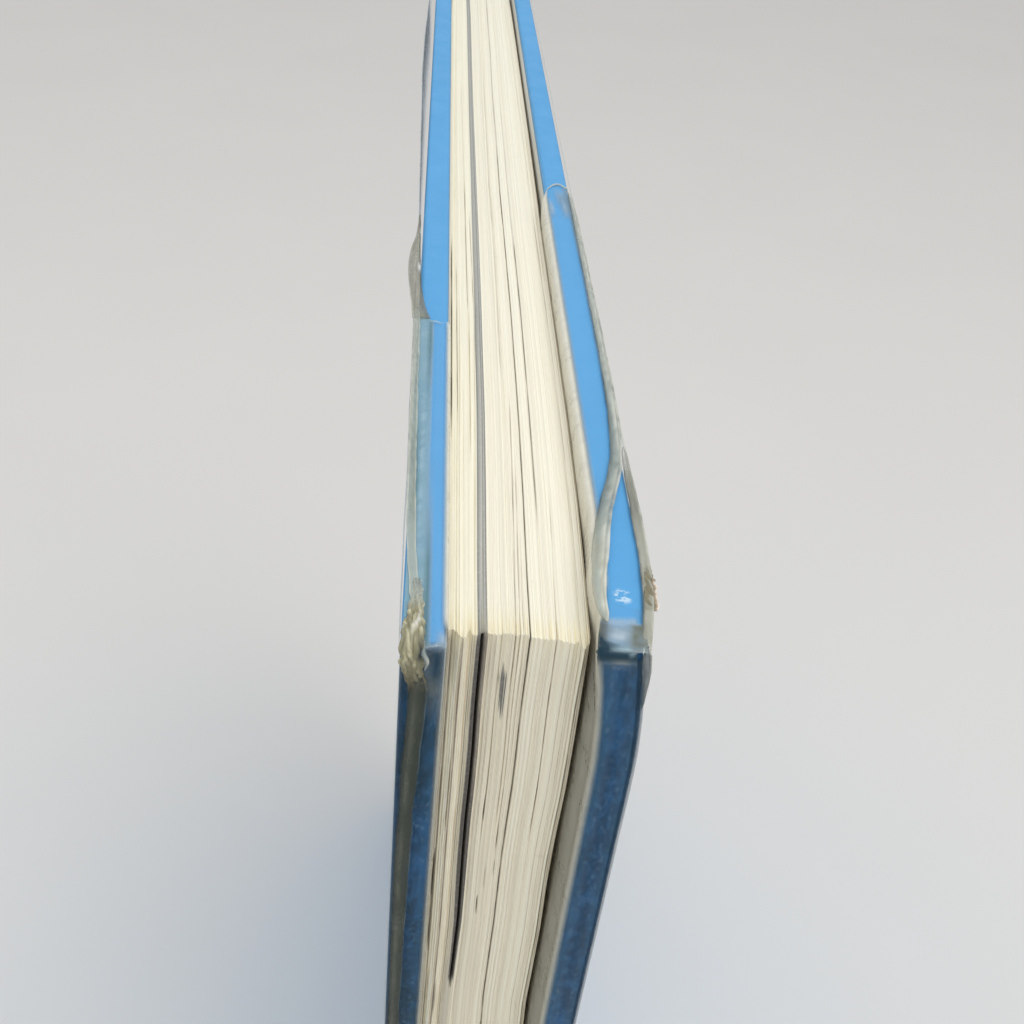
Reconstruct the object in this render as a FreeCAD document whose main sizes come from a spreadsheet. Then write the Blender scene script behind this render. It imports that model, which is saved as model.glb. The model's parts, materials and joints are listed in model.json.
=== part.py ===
"""Hardcover yearbook in a clear slip-on vinyl jacket, standing on its tail.

The frame is in millimetres. +Z runs from the tail to the head, -X is the
spine, +X the fore-edge, -Y the front cover and +Y the back cover. The origin
is the middle of the rectangle that the closed book stands on.

The layers of each cover are counted outward from its hinge line: pocket
sheet, pastedown, cloth case with the board inside it, jacket sheet. Both
hinge lines run along Z beside the corners of the text block's spine.
"""

import os

import FreeCAD
import Part
import Sketcher

# Driving dimensions: alias, value in millimetres, meaning.
DIMENSIONS = (
    ("leaf_width", 229.0, "trimmed leaf from spine to fore-edge"),
    ("leaf_height", 305.0, "trimmed leaf from tail to head"),
    ("pages", 13.2, "thickness of all the leaves together at the spine"),
    ("fore_taper", 1.5, "how much thinner they are together at the fore-edge"),
    ("fore_skew", 1.0, "how far the last leaf stands out past the first"),
    ("fore_hollow", 0.4, "depth of the hollow in the fore-edge"),
    ("endpaper", 0.15, "endpaper thickness"),
    ("back_gap", 0.2, "how far the back cover stands off the leaves at the spine"),
    ("back_lean", 0.3, "degrees that the back cover is swung in towards the leaves"),
    ("clearance", 0.15, "running gap between each cover and the leaves"),
    ("board", 3.0, "binder's board thickness"),
    ("board_round", 0.5, "easing of the board's edges"),
    ("cloth", 0.25, "case cloth thickness"),
    ("turn_in", 15.0, "cloth turned over onto the inside"),
    ("head_square", 3.2, "board past the leaves at head and tail"),
    ("fore_square", 5.0, "board past the leaves at the fore-edge"),
    ("paste_square", 0.9, "cover cloth past the pastedown at head, tail and fore-edge"),
    ("groove", 8.0, "French groove, spine face of the leaves to board"),
    ("cloth_hinge", 4.6, "end of the spine cloth in the groove"),
    ("hinge_slit", 0.4, "slit that parts spine cloth from cover cloth"),
    ("inlay", 0.6, "spine inlay card thickness"),
    ("inlay_margin", 0.5, "cloth past the inlay on each side"),
    ("mull", 0.3, "mull and its glue, thickness"),
    ("mull_wing", 4.4, "mull wrapped onto each side of the block"),
    ("mull_short", 12.0, "mull short of the leaves at head and tail"),
    ("liner", 0.2, "kraft paper spine liner thickness"),
    ("band_bead", 0.9, "radius of the headband's bead"),
    ("band_tape", 10.0, "headband tape glued down the spine"),
    ("vinyl", 0.25, "jacket sheet thickness"),
    ("front_pocket", 54.0, "depth of the front pocket"),
    ("back_pocket", 98.0, "depth of the back pocket"),
    ("spine_round", 2.0, "bend of the jacket at the spine's corners"),
    ("spine_wing", 1.5, "end of the jacket's spine strip"),
    ("panel_start", 3.0, "start of the jacket's cover panels"),
    ("spare", 5.0, "how far a cutting block runs past what it cuts"),
)

# Places along X.
SPINE_STACK = "(dims.mull + dims.liner + dims.inlay + 2 * dims.cloth + dims.vinyl)"
SPINE_X = f"(({SPINE_STACK} - dims.leaf_width - dims.fore_square - dims.vinyl) / 2)"
FORE_X = f"({SPINE_X} + dims.leaf_width + dims.fore_square)"
BOARD_X = f"({SPINE_X} + dims.groove)"
TURN_X = f"({FORE_X} - dims.turn_in)"
SLIT_X = f"({SPINE_X} + dims.cloth_hinge + dims.hinge_slit)"
MULL_X = f"({SPINE_X} - dims.mull)"
LINER_X = f"({MULL_X} - dims.liner)"
LIP_X = f"({LINER_X} - dims.cloth)"
INLAY_X = f"({LIP_X} - dims.inlay)"
CASE_X = f"({INLAY_X} - dims.cloth)"
JACKET_X = f"({CASE_X} - dims.vinyl)"

# Places along Y, as distances from the middle plane of the case.
POCKET_STACK = "(dims.endpaper + dims.vinyl + dims.clearance)"
LEAVES = "(dims.pages + 2 * dims.endpaper)"
CASE_IN = f"(({LEAVES} + 2 * {POCKET_STACK} + dims.back_gap) / 2)"
CASE_OUT = f"({CASE_IN} + dims.board + 2 * dims.cloth)"
BOARD_IN = f"({CASE_IN} + dims.cloth)"
BOARD_OUT = f"({CASE_OUT} - dims.cloth)"
PASTE_IN = f"({CASE_IN} - dims.endpaper)"
POCKET_IN = f"({PASTE_IN} - dims.vinyl)"
JACKET_OUT = f"({CASE_OUT} + dims.vinyl)"
WELD_Y = f"(({CASE_IN} + {CASE_OUT}) / 2)"
HINGE_Y = f"({POCKET_IN} - dims.clearance / 2)"
LEAVES_FRONT = f"({POCKET_STACK} - {CASE_IN})"
PAGES_FRONT = f"({LEAVES_FRONT} + dims.endpaper)"
PAGES_BACK = f"({PAGES_FRONT} + dims.pages)"
LEAVES_BACK = f"({PAGES_BACK} + dims.endpaper)"

# Places along Z.
CASE_TAIL = "dims.vinyl"
CASE_HEAD = "(dims.vinyl + dims.leaf_height + 2 * dims.head_square)"
JACKET_HEAD = f"({CASE_HEAD} + dims.vinyl)"
LEAF_TAIL = "(dims.vinyl + dims.head_square)"
LEAF_HEAD = f"({LEAF_TAIL} + dims.leaf_height)"

NODES = (
    "text_block", "front_flyleaf", "back_flyleaf", "head_band", "tail_band",
    "spine_mull", "spine_liner", "spine_inlay", "spine_cloth", "jacket_spine",
    "front_board", "front_cover_cloth", "front_pastedown",
    "jacket_front", "front_pocket_sheet",
    "back_board", "back_cover_cloth", "back_pastedown",
    "jacket_back", "back_pocket_sheet",
)
BACK_COVER = NODES[-5:]


def make_sheet(doc):
    """The driving dimensions, one row each."""
    sheet = doc.addObject("Spreadsheet::Sheet", "dims")
    for row, (alias, value, meaning) in enumerate(DIMENSIONS, 1):
        sheet.set(f"A{row}", meaning)
        sheet.set(f"B{row}", str(value))
        sheet.setAlias(f"B{row}", alias)


def across(side, near, far):
    """Y range of a layer that lies from near to far on one side of the case."""
    if side == "back":
        return near, far
    return f"(-{far})", f"(-{near})"


def bind_box(solid, holder, x, y, z):
    """Give a box its three ranges; holder carries the low corner's place."""
    for size, (low, high) in zip(("Length", "Width", "Height"), (x, y, z)):
        solid.setExpression(size, f"{high} - {low}")
    for axis, (low, _) in zip("xyz", (x, y, z)):
        holder.setExpression(f"Placement.Base.{axis}", low)


def slab(doc, name, x, y, z):
    """A square-edged box between three pairs of planes."""
    solid = doc.addObject("Part::Box", name)
    bind_box(solid, solid, x, y, z)
    return solid


def off_spine_face(edge, box):
    """True for the edges that don't border the face towards the spine."""
    return edge.CenterOfMass.x > box.XMin + 0.01


def spine_corner(edge, box):
    """True for the two upright edges of the face towards the spine."""
    return edge.CenterOfMass.x < box.XMin + 0.01 and abs(edge.tangentAt(0).z) > 0.9


def rounded_slab(doc, name, x, y, z, radius, wanted):
    """A box whose wanted edges are rounded, as a body of its own."""
    body = doc.addObject("PartDesign::Body", name)
    block = body.newObject("PartDesign::AdditiveBox", f"{name}_block")
    bind_box(block, body, x, y, z)
    doc.recompute()
    box = block.Shape.BoundBox
    edges = [
        f"Edge{number}"
        for number, edge in enumerate(block.Shape.Edges, 1)
        if wanted(edge, box)
    ]
    rounding = body.newObject("PartDesign::Fillet", f"{name}_rounding")
    rounding.Base = (block, edges)
    rounding.setExpression("Radius", radius)
    return body


def cut(doc, name, base, *tools):
    """base with every tool taken out of it."""
    if len(tools) == 1:
        removed = tools[0]
    else:
        removed = fuse(doc, f"{name}_removed", *tools)
    result = doc.addObject("Part::Cut", name)
    result.Base = base
    result.Tool = removed
    return result


def fuse(doc, name, *shapes):
    """Several shapes joined into one solid."""
    result = doc.addObject("Part::MultiFuse", name)
    result.Shapes = list(shapes)
    result.Refine = True
    return result


def channel(doc, name, x, y, z, wall, radius, inner_radius):
    """A strip over the spine whose two sides turn onto the covers.

    The outside is a box with its spine corners rounded, and a second box,
    set in by the wall on three sides, is taken out of it.
    """
    outside = rounded_slab(doc, f"{name}_outside", x, y, z, radius, spine_corner)
    inside_x = (f"({x[0]} + {wall})", f"({x[1]} + dims.spare)")
    inside_y = (f"({y[0]} + {wall})", f"({y[1]} - {wall})")
    inside_z = (f"({z[0]} - dims.spare)", f"({z[1]} + dims.spare)")
    inside_name = f"{name}_inside"
    if inner_radius is None:
        inside = slab(doc, inside_name, inside_x, inside_y, inside_z)
    else:
        inside = rounded_slab(
            doc, inside_name, inside_x, inside_y, inside_z, inner_radius, spine_corner
        )
    return cut(doc, name, outside, inside)


def text_block(doc):
    """All the leaves as one solid.

    Its plan tapers to the fore-edge, because the folds make the spine
    thicker. The fore-edge slants, because the leaves have slipped, and is
    hollowed by a shallow arc.
    """
    body = doc.addObject("PartDesign::Body", "text_block")
    body.setExpression("Placement.Base.x", SPINE_X)
    body.setExpression("Placement.Base.y", PAGES_FRONT)
    body.setExpression("Placement.Base.z", LEAF_TAIL)
    sketch = body.newObject("Sketcher::SketchObject", "leaf_plan")
    plane = next(f for f in body.Origin.OriginFeatures if f.Role == "XY_Plane")
    sketch.AttachmentSupport = [(plane, "")]
    sketch.MapMode = "FlatFace"

    size = {alias: value for alias, value, _ in DIMENSIONS}
    short = size["leaf_width"] - size["fore_skew"] / 2
    long = size["leaf_width"] + size["fore_skew"] / 2
    thick = size["pages"]
    thin = thick - size["fore_taper"]
    corners = (
        FreeCAD.Vector(0, 0, 0),
        FreeCAD.Vector(short, 0, 0),
        FreeCAD.Vector(long, thin, 0),
        FreeCAD.Vector(0, thick, 0),
    )
    middle = (corners[1] + corners[2]) / 2
    hollow = middle - FreeCAD.Vector(size["fore_hollow"], 0, 0)
    front = sketch.addGeometry(Part.LineSegment(corners[0], corners[1]))
    back = sketch.addGeometry(Part.LineSegment(corners[2], corners[3]))
    spine = sketch.addGeometry(Part.LineSegment(corners[3], corners[0]))
    fore = sketch.addGeometry(Part.Arc(corners[2], hollow, corners[1]))

    start, end, origin = 1, 2, -1
    sketch.addConstraint([
        Sketcher.Constraint("Coincident", front, end, fore, end),
        Sketcher.Constraint("Coincident", fore, start, back, start),
        Sketcher.Constraint("Coincident", back, end, spine, start),
        Sketcher.Constraint("Coincident", spine, end, front, start),
        Sketcher.Constraint("Coincident", front, start, origin, start),
        Sketcher.Constraint("Horizontal", front),
        Sketcher.Constraint("Vertical", spine),
    ])
    first_leaf = sketch.addConstraint(
        Sketcher.Constraint("DistanceX", front, start, front, end, short)
    )
    last_leaf = sketch.addConstraint(
        Sketcher.Constraint("DistanceX", back, end, back, start, long)
    )
    bulk = sketch.addConstraint(
        Sketcher.Constraint("DistanceY", spine, end, spine, start, thick)
    )
    taper = sketch.addConstraint(
        Sketcher.Constraint("DistanceY", back, start, back, end, thick - thin)
    )
    bend = sketch.addConstraint(Sketcher.Constraint("Radius", fore, 50.0))
    chord_squared = "((dims.pages - dims.fore_taper) ^ 2 + dims.fore_skew ^ 2)"
    sketch.setExpression(f"Constraints[{first_leaf}]", "dims.leaf_width - dims.fore_skew / 2")
    sketch.setExpression(f"Constraints[{last_leaf}]", "dims.leaf_width + dims.fore_skew / 2")
    sketch.setExpression(f"Constraints[{bulk}]", "dims.pages")
    sketch.setExpression(f"Constraints[{taper}]", "dims.fore_taper")
    sketch.setExpression(
        f"Constraints[{bend}]",
        f"{chord_squared} / (8 * dims.fore_hollow) + dims.fore_hollow / 2",
    )
    pad = body.newObject("PartDesign::Pad", "leaf_stack")
    pad.Profile = sketch
    pad.setExpression("Length", "dims.leaf_height")


def flyleaves(doc):
    """The free half of each endpaper, which lies on the block."""
    first_edge = f"({SPINE_X} + dims.leaf_width - dims.fore_skew / 2)"
    last_edge = f"({SPINE_X} + dims.leaf_width + dims.fore_skew / 2)"
    z = (LEAF_TAIL, LEAF_HEAD)
    slab(doc, "front_flyleaf", (SPINE_X, first_edge), (LEAVES_FRONT, PAGES_FRONT), z)
    last = slab(doc, "back_flyleaf", (SPINE_X, last_edge), (PAGES_BACK, LEAVES_BACK), z)
    last.setExpression(
        "Placement.Rotation.Angle",
        "-atan(dims.fore_taper / (dims.leaf_width + dims.fore_skew / 2))",
    )


def headband(doc, name, bead_z, tape_z):
    """A woven bead across the end of the spine, on a tape glued down it."""
    bead = doc.addObject("Part::Cylinder", f"{name}_bead")
    bead.setExpression("Radius", "dims.band_bead")
    bead.setExpression("Height", "dims.pages")
    along_y = FreeCAD.Rotation(FreeCAD.Vector(1, 0, 0), -90)
    bead.Placement = FreeCAD.Placement(FreeCAD.Vector(), along_y)
    bead.setExpression("Placement.Base.x", f"{MULL_X} + dims.band_bead")
    bead.setExpression("Placement.Base.y", PAGES_FRONT)
    bead.setExpression("Placement.Base.z", bead_z)
    tape = slab(doc, f"{name}_tape", (MULL_X, SPINE_X), (PAGES_FRONT, PAGES_BACK), tape_z)
    fuse(doc, name, bead, tape)


def headbands(doc):
    """One band at each end of the spine; each bead stands just off the leaves."""
    head_bead = f"({LEAF_HEAD} + dims.band_bead)"
    headband(doc, "head_band", head_bead, (f"({LEAF_HEAD} - dims.band_tape)", head_bead))
    tail_bead = f"({LEAF_TAIL} - dims.band_bead)"
    headband(doc, "tail_band", tail_bead, (tail_bead, f"({LEAF_TAIL} + dims.band_tape)"))


def spine_lining(doc):
    """Mull glued round the block's spine, and the paper liner over it."""
    z = (f"({LEAF_TAIL} + dims.mull_short)", f"({LEAF_HEAD} - dims.mull_short)")
    channel(
        doc,
        "spine_mull",
        (MULL_X, f"({SPINE_X} + dims.mull_wing)"),
        (f"({LEAVES_FRONT} - dims.mull)", f"({LEAVES_BACK} + dims.mull)"),
        z,
        "dims.mull",
        "dims.mull / 2",
        None,
    )
    slab(doc, "spine_liner", (LINER_X, MULL_X), (PAGES_FRONT, PAGES_BACK), z)


def case_spine(doc):
    """The case's spine: a card inlay with the cloth over it.

    The cloth runs round both corners to the bottom of each French groove,
    and turns over the inlay at head and tail.
    """
    half = f"({CASE_IN} - dims.inlay_margin)"
    y = (f"(-{half})", half)
    inlay_tail = f"({CASE_TAIL} + dims.cloth)"
    inlay_head = f"({CASE_HEAD} - dims.cloth)"
    slab(doc, "spine_inlay", (INLAY_X, LIP_X), y, (inlay_tail, inlay_head))
    side = f"({CASE_IN} + dims.cloth)"
    strip = channel(
        doc,
        "spine_cloth_strip",
        (CASE_X, f"({SPINE_X} + dims.cloth_hinge)"),
        (f"(-{side})", side),
        (CASE_TAIL, CASE_HEAD),
        "dims.cloth",
        "(2 * dims.cloth)",
        "dims.cloth",
    )
    head_wrap = slab(doc, "head_wrap", (INLAY_X, LINER_X), y, (inlay_head, CASE_HEAD))
    tail_wrap = slab(doc, "tail_wrap", (INLAY_X, LINER_X), y, (CASE_TAIL, inlay_tail))
    head_lip = slab(
        doc, "head_lip", (LIP_X, LINER_X), y, (f"({CASE_HEAD} - dims.turn_in)", CASE_HEAD)
    )
    tail_lip = slab(
        doc, "tail_lip", (LIP_X, LINER_X), y, (CASE_TAIL, f"({CASE_TAIL} + dims.turn_in)")
    )
    fuse(doc, "spine_cloth", strip, head_wrap, tail_wrap, head_lip, tail_lip)


def cover(doc, side):
    """One cover: board, cloth turned in over three edges, and pastedown."""
    board = rounded_slab(
        doc,
        f"{side}_board",
        (BOARD_X, f"({FORE_X} - dims.cloth)"),
        across(side, BOARD_IN, BOARD_OUT),
        (f"({CASE_TAIL} + dims.cloth)", f"({CASE_HEAD} - dims.cloth)"),
        "dims.board_round",
        off_spine_face,
    )
    blank = rounded_slab(
        doc,
        f"{side}_cloth_blank",
        (f"({BOARD_X} - dims.cloth)", FORE_X),
        across(side, CASE_IN, CASE_OUT),
        (CASE_TAIL, CASE_HEAD),
        "(dims.board_round + dims.cloth)",
        off_spine_face,
    )
    opening = (
        (BOARD_X, TURN_X),
        across(side, CASE_IN, BOARD_IN),
        (f"({CASE_TAIL} + dims.turn_in)", f"({CASE_HEAD} - dims.turn_in)"),
    )
    window = slab(doc, f"{side}_turn_in_window", *opening)
    shell = cut(doc, f"{side}_cloth_shell", blank, board, window)
    tab = slab(
        doc,
        f"{side}_groove_cloth",
        (SLIT_X, f"({BOARD_X} - dims.cloth)"),
        across(side, CASE_IN, BOARD_IN),
        (CASE_TAIL, CASE_HEAD),
    )
    fuse(doc, f"{side}_cover_cloth", shell, tab)
    leaf = slab(
        doc,
        f"{side}_pasted_leaf",
        (SLIT_X, f"({FORE_X} - dims.paste_square)"),
        across(side, PASTE_IN, CASE_IN),
        (f"({CASE_TAIL} + dims.paste_square)", f"({CASE_HEAD} - dims.paste_square)"),
    )
    infill = slab(doc, f"{side}_infill", *opening)
    fuse(doc, f"{side}_pastedown", leaf, infill)


def jacket_side(doc, side, pocket):
    """One side of the jacket: outer panel and pocket sheet.

    The pocket is a thin sleeve round the cover's fore-edge part. The weld
    line runs along the middle of the board's edges, and parts the sleeve
    into the outer panel's folded rim and the pocket sheet.
    """
    pocket_x = f"({FORE_X} - {pocket})"
    past_x = f"({FORE_X} + dims.spare)"
    outside = rounded_slab(
        doc,
        f"{side}_sleeve_outside",
        (pocket_x, f"({FORE_X} + dims.vinyl)"),
        across(side, POCKET_IN, JACKET_OUT),
        ("0", JACKET_HEAD),
        "(dims.board_round + dims.cloth + dims.vinyl)",
        off_spine_face,
    )
    inside = rounded_slab(
        doc,
        f"{side}_sleeve_inside",
        (f"({pocket_x} - dims.spare)", FORE_X),
        across(side, PASTE_IN, CASE_OUT),
        (CASE_TAIL, CASE_HEAD),
        "(dims.board_round + dims.cloth)",
        off_spine_face,
    )
    x = (f"({pocket_x} - dims.spare)", past_x)
    z = ("(-dims.spare)", f"({JACKET_HEAD} + dims.spare)")
    inner_half = slab(
        doc, f"{side}_inner_half", x, across(side, f"({POCKET_IN} - dims.spare)", WELD_Y), z
    )
    outer_half = slab(
        doc, f"{side}_outer_half", x, across(side, WELD_Y, f"({JACKET_OUT} + dims.spare)"), z
    )
    rim = cut(doc, f"{side}_jacket_rim", outside, inside, inner_half)
    cut(doc, f"{side}_pocket_sheet", outside, inside, outer_half)
    panel = slab(
        doc,
        f"{side}_jacket_panel",
        (f"({SPINE_X} + dims.panel_start)", pocket_x),
        across(side, CASE_OUT, JACKET_OUT),
        ("0", JACKET_HEAD),
    )
    fuse(doc, f"jacket_{side}", panel, rim)


def jacket_spine(doc):
    """The jacket's strip over the spine, bent round both corners."""
    channel(
        doc,
        "jacket_spine",
        (JACKET_X, f"({SPINE_X} + dims.spine_wing)"),
        (f"(-{JACKET_OUT})", JACKET_OUT),
        ("0", JACKET_HEAD),
        "dims.vinyl",
        "dims.spine_round",
        "(dims.spine_round - dims.vinyl)",
    )


def in_place(doc, node):
    """A node's solid where it belongs.

    The back cover is made square to the spine. All of it is then swung in
    about its hinge line, because the leaves are thinner at the fore-edge.
    """
    solid = doc.getObject(node).Shape.copy()
    if node in BACK_COVER:
        place = doc.getObject("text_block")
        hinge = FreeCAD.Vector(
            float(place.evalExpression(SPINE_X)), float(place.evalExpression(HINGE_Y)), 0
        )
        lean = float(place.evalExpression("dims.back_lean"))
        solid.rotate(hinge, FreeCAD.Vector(0, 0, 1), -lean)
    return solid


def check_document(doc):
    """Stop if any object failed or any sub-part has no sound shape."""
    failed = [o.Name for o in doc.Objects if {"Invalid", "Error"} & set(o.State)]
    if failed:
        raise RuntimeError(f"failed objects: {failed}")
    for node in NODES:
        shape = doc.getObject(node).Shape
        if shape.isNull() or not shape.isValid() or len(shape.Solids) != 1:
            raise RuntimeError(f"{node} is not one valid solid")


def main():
    doc = FreeCAD.newDocument("yearbook")
    make_sheet(doc)
    doc.recompute()
    text_block(doc)
    flyleaves(doc)
    headbands(doc)
    spine_lining(doc)
    case_spine(doc)
    jacket_spine(doc)
    for side, pocket in (("front", "dims.front_pocket"), ("back", "dims.back_pocket")):
        cover(doc, side)
        jacket_side(doc, side, pocket)
    doc.recompute()
    check_document(doc)
    os.makedirs("parts", exist_ok=True)
    for node in NODES:
        solid = in_place(doc, node)
        solid.exportStep(f"parts/{node}.step")
        box = solid.BoundBox
        print(f"{node}: {solid.Volume:.1f} mm3, {box.XMin:.2f} {box.XMax:.2f}, "
              f"{box.YMin:.2f} {box.YMax:.2f}, {box.ZMin:.2f} {box.ZMax:.2f}")


main()
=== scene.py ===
import json
import math

import bmesh
import bpy
import numpy as np
from bpy.props import FloatProperty, FloatVectorProperty, IntProperty, PointerProperty
from mathutils import Matrix, Vector


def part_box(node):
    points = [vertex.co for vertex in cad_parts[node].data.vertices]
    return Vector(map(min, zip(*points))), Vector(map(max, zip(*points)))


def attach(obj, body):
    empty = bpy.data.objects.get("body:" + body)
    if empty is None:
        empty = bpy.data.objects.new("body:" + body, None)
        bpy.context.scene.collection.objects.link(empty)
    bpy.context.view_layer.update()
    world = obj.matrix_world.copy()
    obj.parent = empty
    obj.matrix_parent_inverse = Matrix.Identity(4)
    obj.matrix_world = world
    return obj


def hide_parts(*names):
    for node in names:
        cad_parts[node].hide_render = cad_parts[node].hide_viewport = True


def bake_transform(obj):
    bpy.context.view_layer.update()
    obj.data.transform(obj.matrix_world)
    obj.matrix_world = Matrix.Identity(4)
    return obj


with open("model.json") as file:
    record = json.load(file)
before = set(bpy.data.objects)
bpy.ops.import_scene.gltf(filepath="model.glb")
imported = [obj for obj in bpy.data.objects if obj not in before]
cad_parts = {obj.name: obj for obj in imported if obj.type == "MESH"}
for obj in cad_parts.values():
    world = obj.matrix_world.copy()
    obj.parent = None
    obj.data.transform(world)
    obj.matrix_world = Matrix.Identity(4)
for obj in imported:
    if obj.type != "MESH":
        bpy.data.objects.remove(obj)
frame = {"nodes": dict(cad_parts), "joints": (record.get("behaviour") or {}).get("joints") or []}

bl_info = {
    "name": "Hardcover yearbook in a vinyl jacket",
    "version": (1, 0, 0),
    "blender": (4, 5, 0),
    "location": "3D View > Sidebar > Yearbook",
    "description": "Leaves, endpapers, cloth case and slip-on vinyl jacket of a large hardcover book",
    "category": "Add Mesh",
}

MM = 0.001


# Places read from the frame, in millimetres.

def node_box(name):
    """Low and high corner of a CAD node."""
    low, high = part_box(name)
    return np.array(low) / MM, np.array(high) / MM


LEAF_LOW, LEAF_HIGH = node_box("text_block")
CLOTH_LOW, CLOTH_HIGH = node_box("front_cover_cloth")
SPINE_LOW, SPINE_HIGH = node_box("spine_cloth")
BOARD_LOW, BOARD_HIGH = node_box("front_board")
WRAP_LOW, WRAP_HIGH = node_box("jacket_spine")
PASTE_LOW, PASTE_HIGH = node_box("front_pastedown")
LEAF_BACK = node_box("back_flyleaf")[1][1]
SPINE_X, FORE_X = LEAF_LOW[0], CLOTH_HIGH[0]
CASE_TAIL, CASE_HEAD = CLOTH_LOW[2], CLOTH_HIGH[2]
CASE_IN, CASE_OUT = -CLOTH_HIGH[1], -CLOTH_LOW[1]
JACKET_OUT, JACKET_HEAD = WRAP_HIGH[1], WRAP_HIGH[2]
PASTE_IN = -PASTE_HIGH[1]
BOARD_X = BOARD_LOW[0]
HINGES = {j["name"]: np.array(j["pos_m"]) / MM for j in frame["joints"]}
HINGE_X, HINGE_Y = HINGES["back_cover_hinge"][:2]
POCKET = {
    "front": FORE_X - node_box("front_pocket_sheet")[0][0],
    "back": FORE_X - node_box("back_pocket_sheet")[0][0],
}
_low, _high = node_box("back_board")
LEAN = math.asin((_high[1] - _low[1] - (BOARD_HIGH[1] - BOARD_LOW[1])) / (_high[0] - _low[0]))


# Curves, ramps and noise, all as whole arrays.

def smooth(t):
    """0 below 0, 1 above 1, and 3t^2 - 2t^3 between."""
    t = np.clip(t, 0, 1)
    return t * t * (3 - 2 * t)


def bump(t, centre, half):
    """A bell of height 1 round centre, exp of minus the square of the distance over half."""
    return np.exp(-(((np.asarray(t, float) - centre) / half) ** 2))


def window(t, start, end, soft):
    """1 from start to end and 0 outside, with edges soft wide."""
    return smooth((t - start) / soft + 0.5) * smooth((end - t) / soft + 0.5)


def ripple(t, seed, low, high, count=6):
    """A sum of sines of random phase whose wavelengths lie between low and high, scaled to about 1."""
    rng = np.random.default_rng(seed)
    t = np.asarray(t, float)
    total = np.zeros_like(t)
    for wave, phase in zip(np.geomspace(low, high, count), rng.uniform(0, 2 * np.pi, count)):
        total = total + np.sin(2 * np.pi * t / wave + phase)
    return total / math.sqrt(count)


def ripple2(a, b, seed, low, high, count=9):
    """A sum of plane waves in (a, b) of random direction, phase and wavelength, scaled to about 1."""
    rng = np.random.default_rng(seed)
    total = np.zeros(np.broadcast(a, b).shape)
    for _ in range(count):
        wave, angle, phase = rng.uniform(low, high), rng.uniform(0, np.pi), rng.uniform(0, 2 * np.pi)
        total = total + np.sin(2 * np.pi * (a * np.cos(angle) + b * np.sin(angle)) / wave + phase)
    return total / math.sqrt(count)


def arc(cx, cy, radius, start, end, count):
    """Points of a circular arc from start to end degrees."""
    a = np.radians(np.linspace(start, end, count))
    return np.stack([cx + radius * np.cos(a), cy + radius * np.sin(a)], 1)


def along(points, count):
    """count points spread evenly by length along a polyline."""
    points = np.asarray(points, float)
    step = np.r_[0, np.cumsum(np.linalg.norm(np.diff(points, axis=0), axis=1))]
    at = np.linspace(0, step[-1], count)
    return np.stack([np.interp(at, step, points[:, k]) for k in range(points.shape[1])], 1)


def corner_bend(x, z):
    """How far the knocked head corner of the back cover is bent towards the leaves.

    It is a power of the nearness to the corner, which falls to nothing 14 mm along the head and
    15 mm down the fore-edge.
    """
    away = np.hypot((FORE_X - x).clip(0) / 14, (CASE_HEAD - z).clip(0) / 15)
    return 1.35 * (1 - away).clip(0, 1) ** 1.9


def place(side, x, out, z):
    """Points of one side of the book from x, the distance out from the middle plane, and z.

    The front is the mirror of the back. Past the hinge the back is turned by the lean of its
    cover about the hinge line, which comes in smoothly over the groove.
    """
    x, out, z = np.broadcast_arrays(*(np.asarray(v, float) for v in (x, out, z)))
    if side == "front":
        return np.stack([x, -out, z], -1)
    out = out - corner_bend(x, z)
    turn = -LEAN * smooth((x - SPINE_X) / (BOARD_X - SPINE_X))
    dx, dy = x - HINGE_X, out - HINGE_Y
    return np.stack(
        [HINGE_X + dx * np.cos(turn) - dy * np.sin(turn), HINGE_Y + dx * np.sin(turn) + dy * np.cos(turn), z], -1
    )


# Meshes from grids.

def grid_faces(rows, cols, start=0, wrap=False):
    """Quads of a grid of rows by cols vertices; wrap joins the last column to the first."""
    last = cols if wrap else cols - 1
    r, c = np.meshgrid(np.arange(rows - 1), np.arange(last), indexing="ij")
    d = (c + 1) % cols
    quads = np.stack([r * cols + c, (r + 1) * cols + c, (r + 1) * cols + d, r * cols + d], -1)
    return quads.reshape(-1, 4) + start


def grid_normals(grid):
    """Unit normals of a grid, from the cross product of its two slopes."""
    a, b = np.gradient(grid, axis=0), np.gradient(grid, axis=1)
    n = np.cross(a, b)
    return n / np.maximum(np.linalg.norm(n, axis=-1, keepdims=True), 1e-9)


def shell(top, bottom):
    """A closed sheet: the top grid, the bottom grid turned over, and a strip round their border."""
    rows, cols = top.shape[:2]
    count = rows * cols
    upper, lower = grid_faces(rows, cols), grid_faces(rows, cols, count)[:, ::-1]
    index = np.arange(count).reshape(rows, cols)
    border = np.r_[index[0, :-1], index[:-1, -1], index[-1, :0:-1], index[:0:-1, 0]]
    after = np.roll(border, -1)
    rim = np.stack([border, after, after + count, border + count], 1)
    points = np.concatenate([top.reshape(-1, 3), bottom.reshape(-1, 3)])
    return points, [*upper.tolist(), *lower.tolist(), *rim.tolist()]


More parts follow.
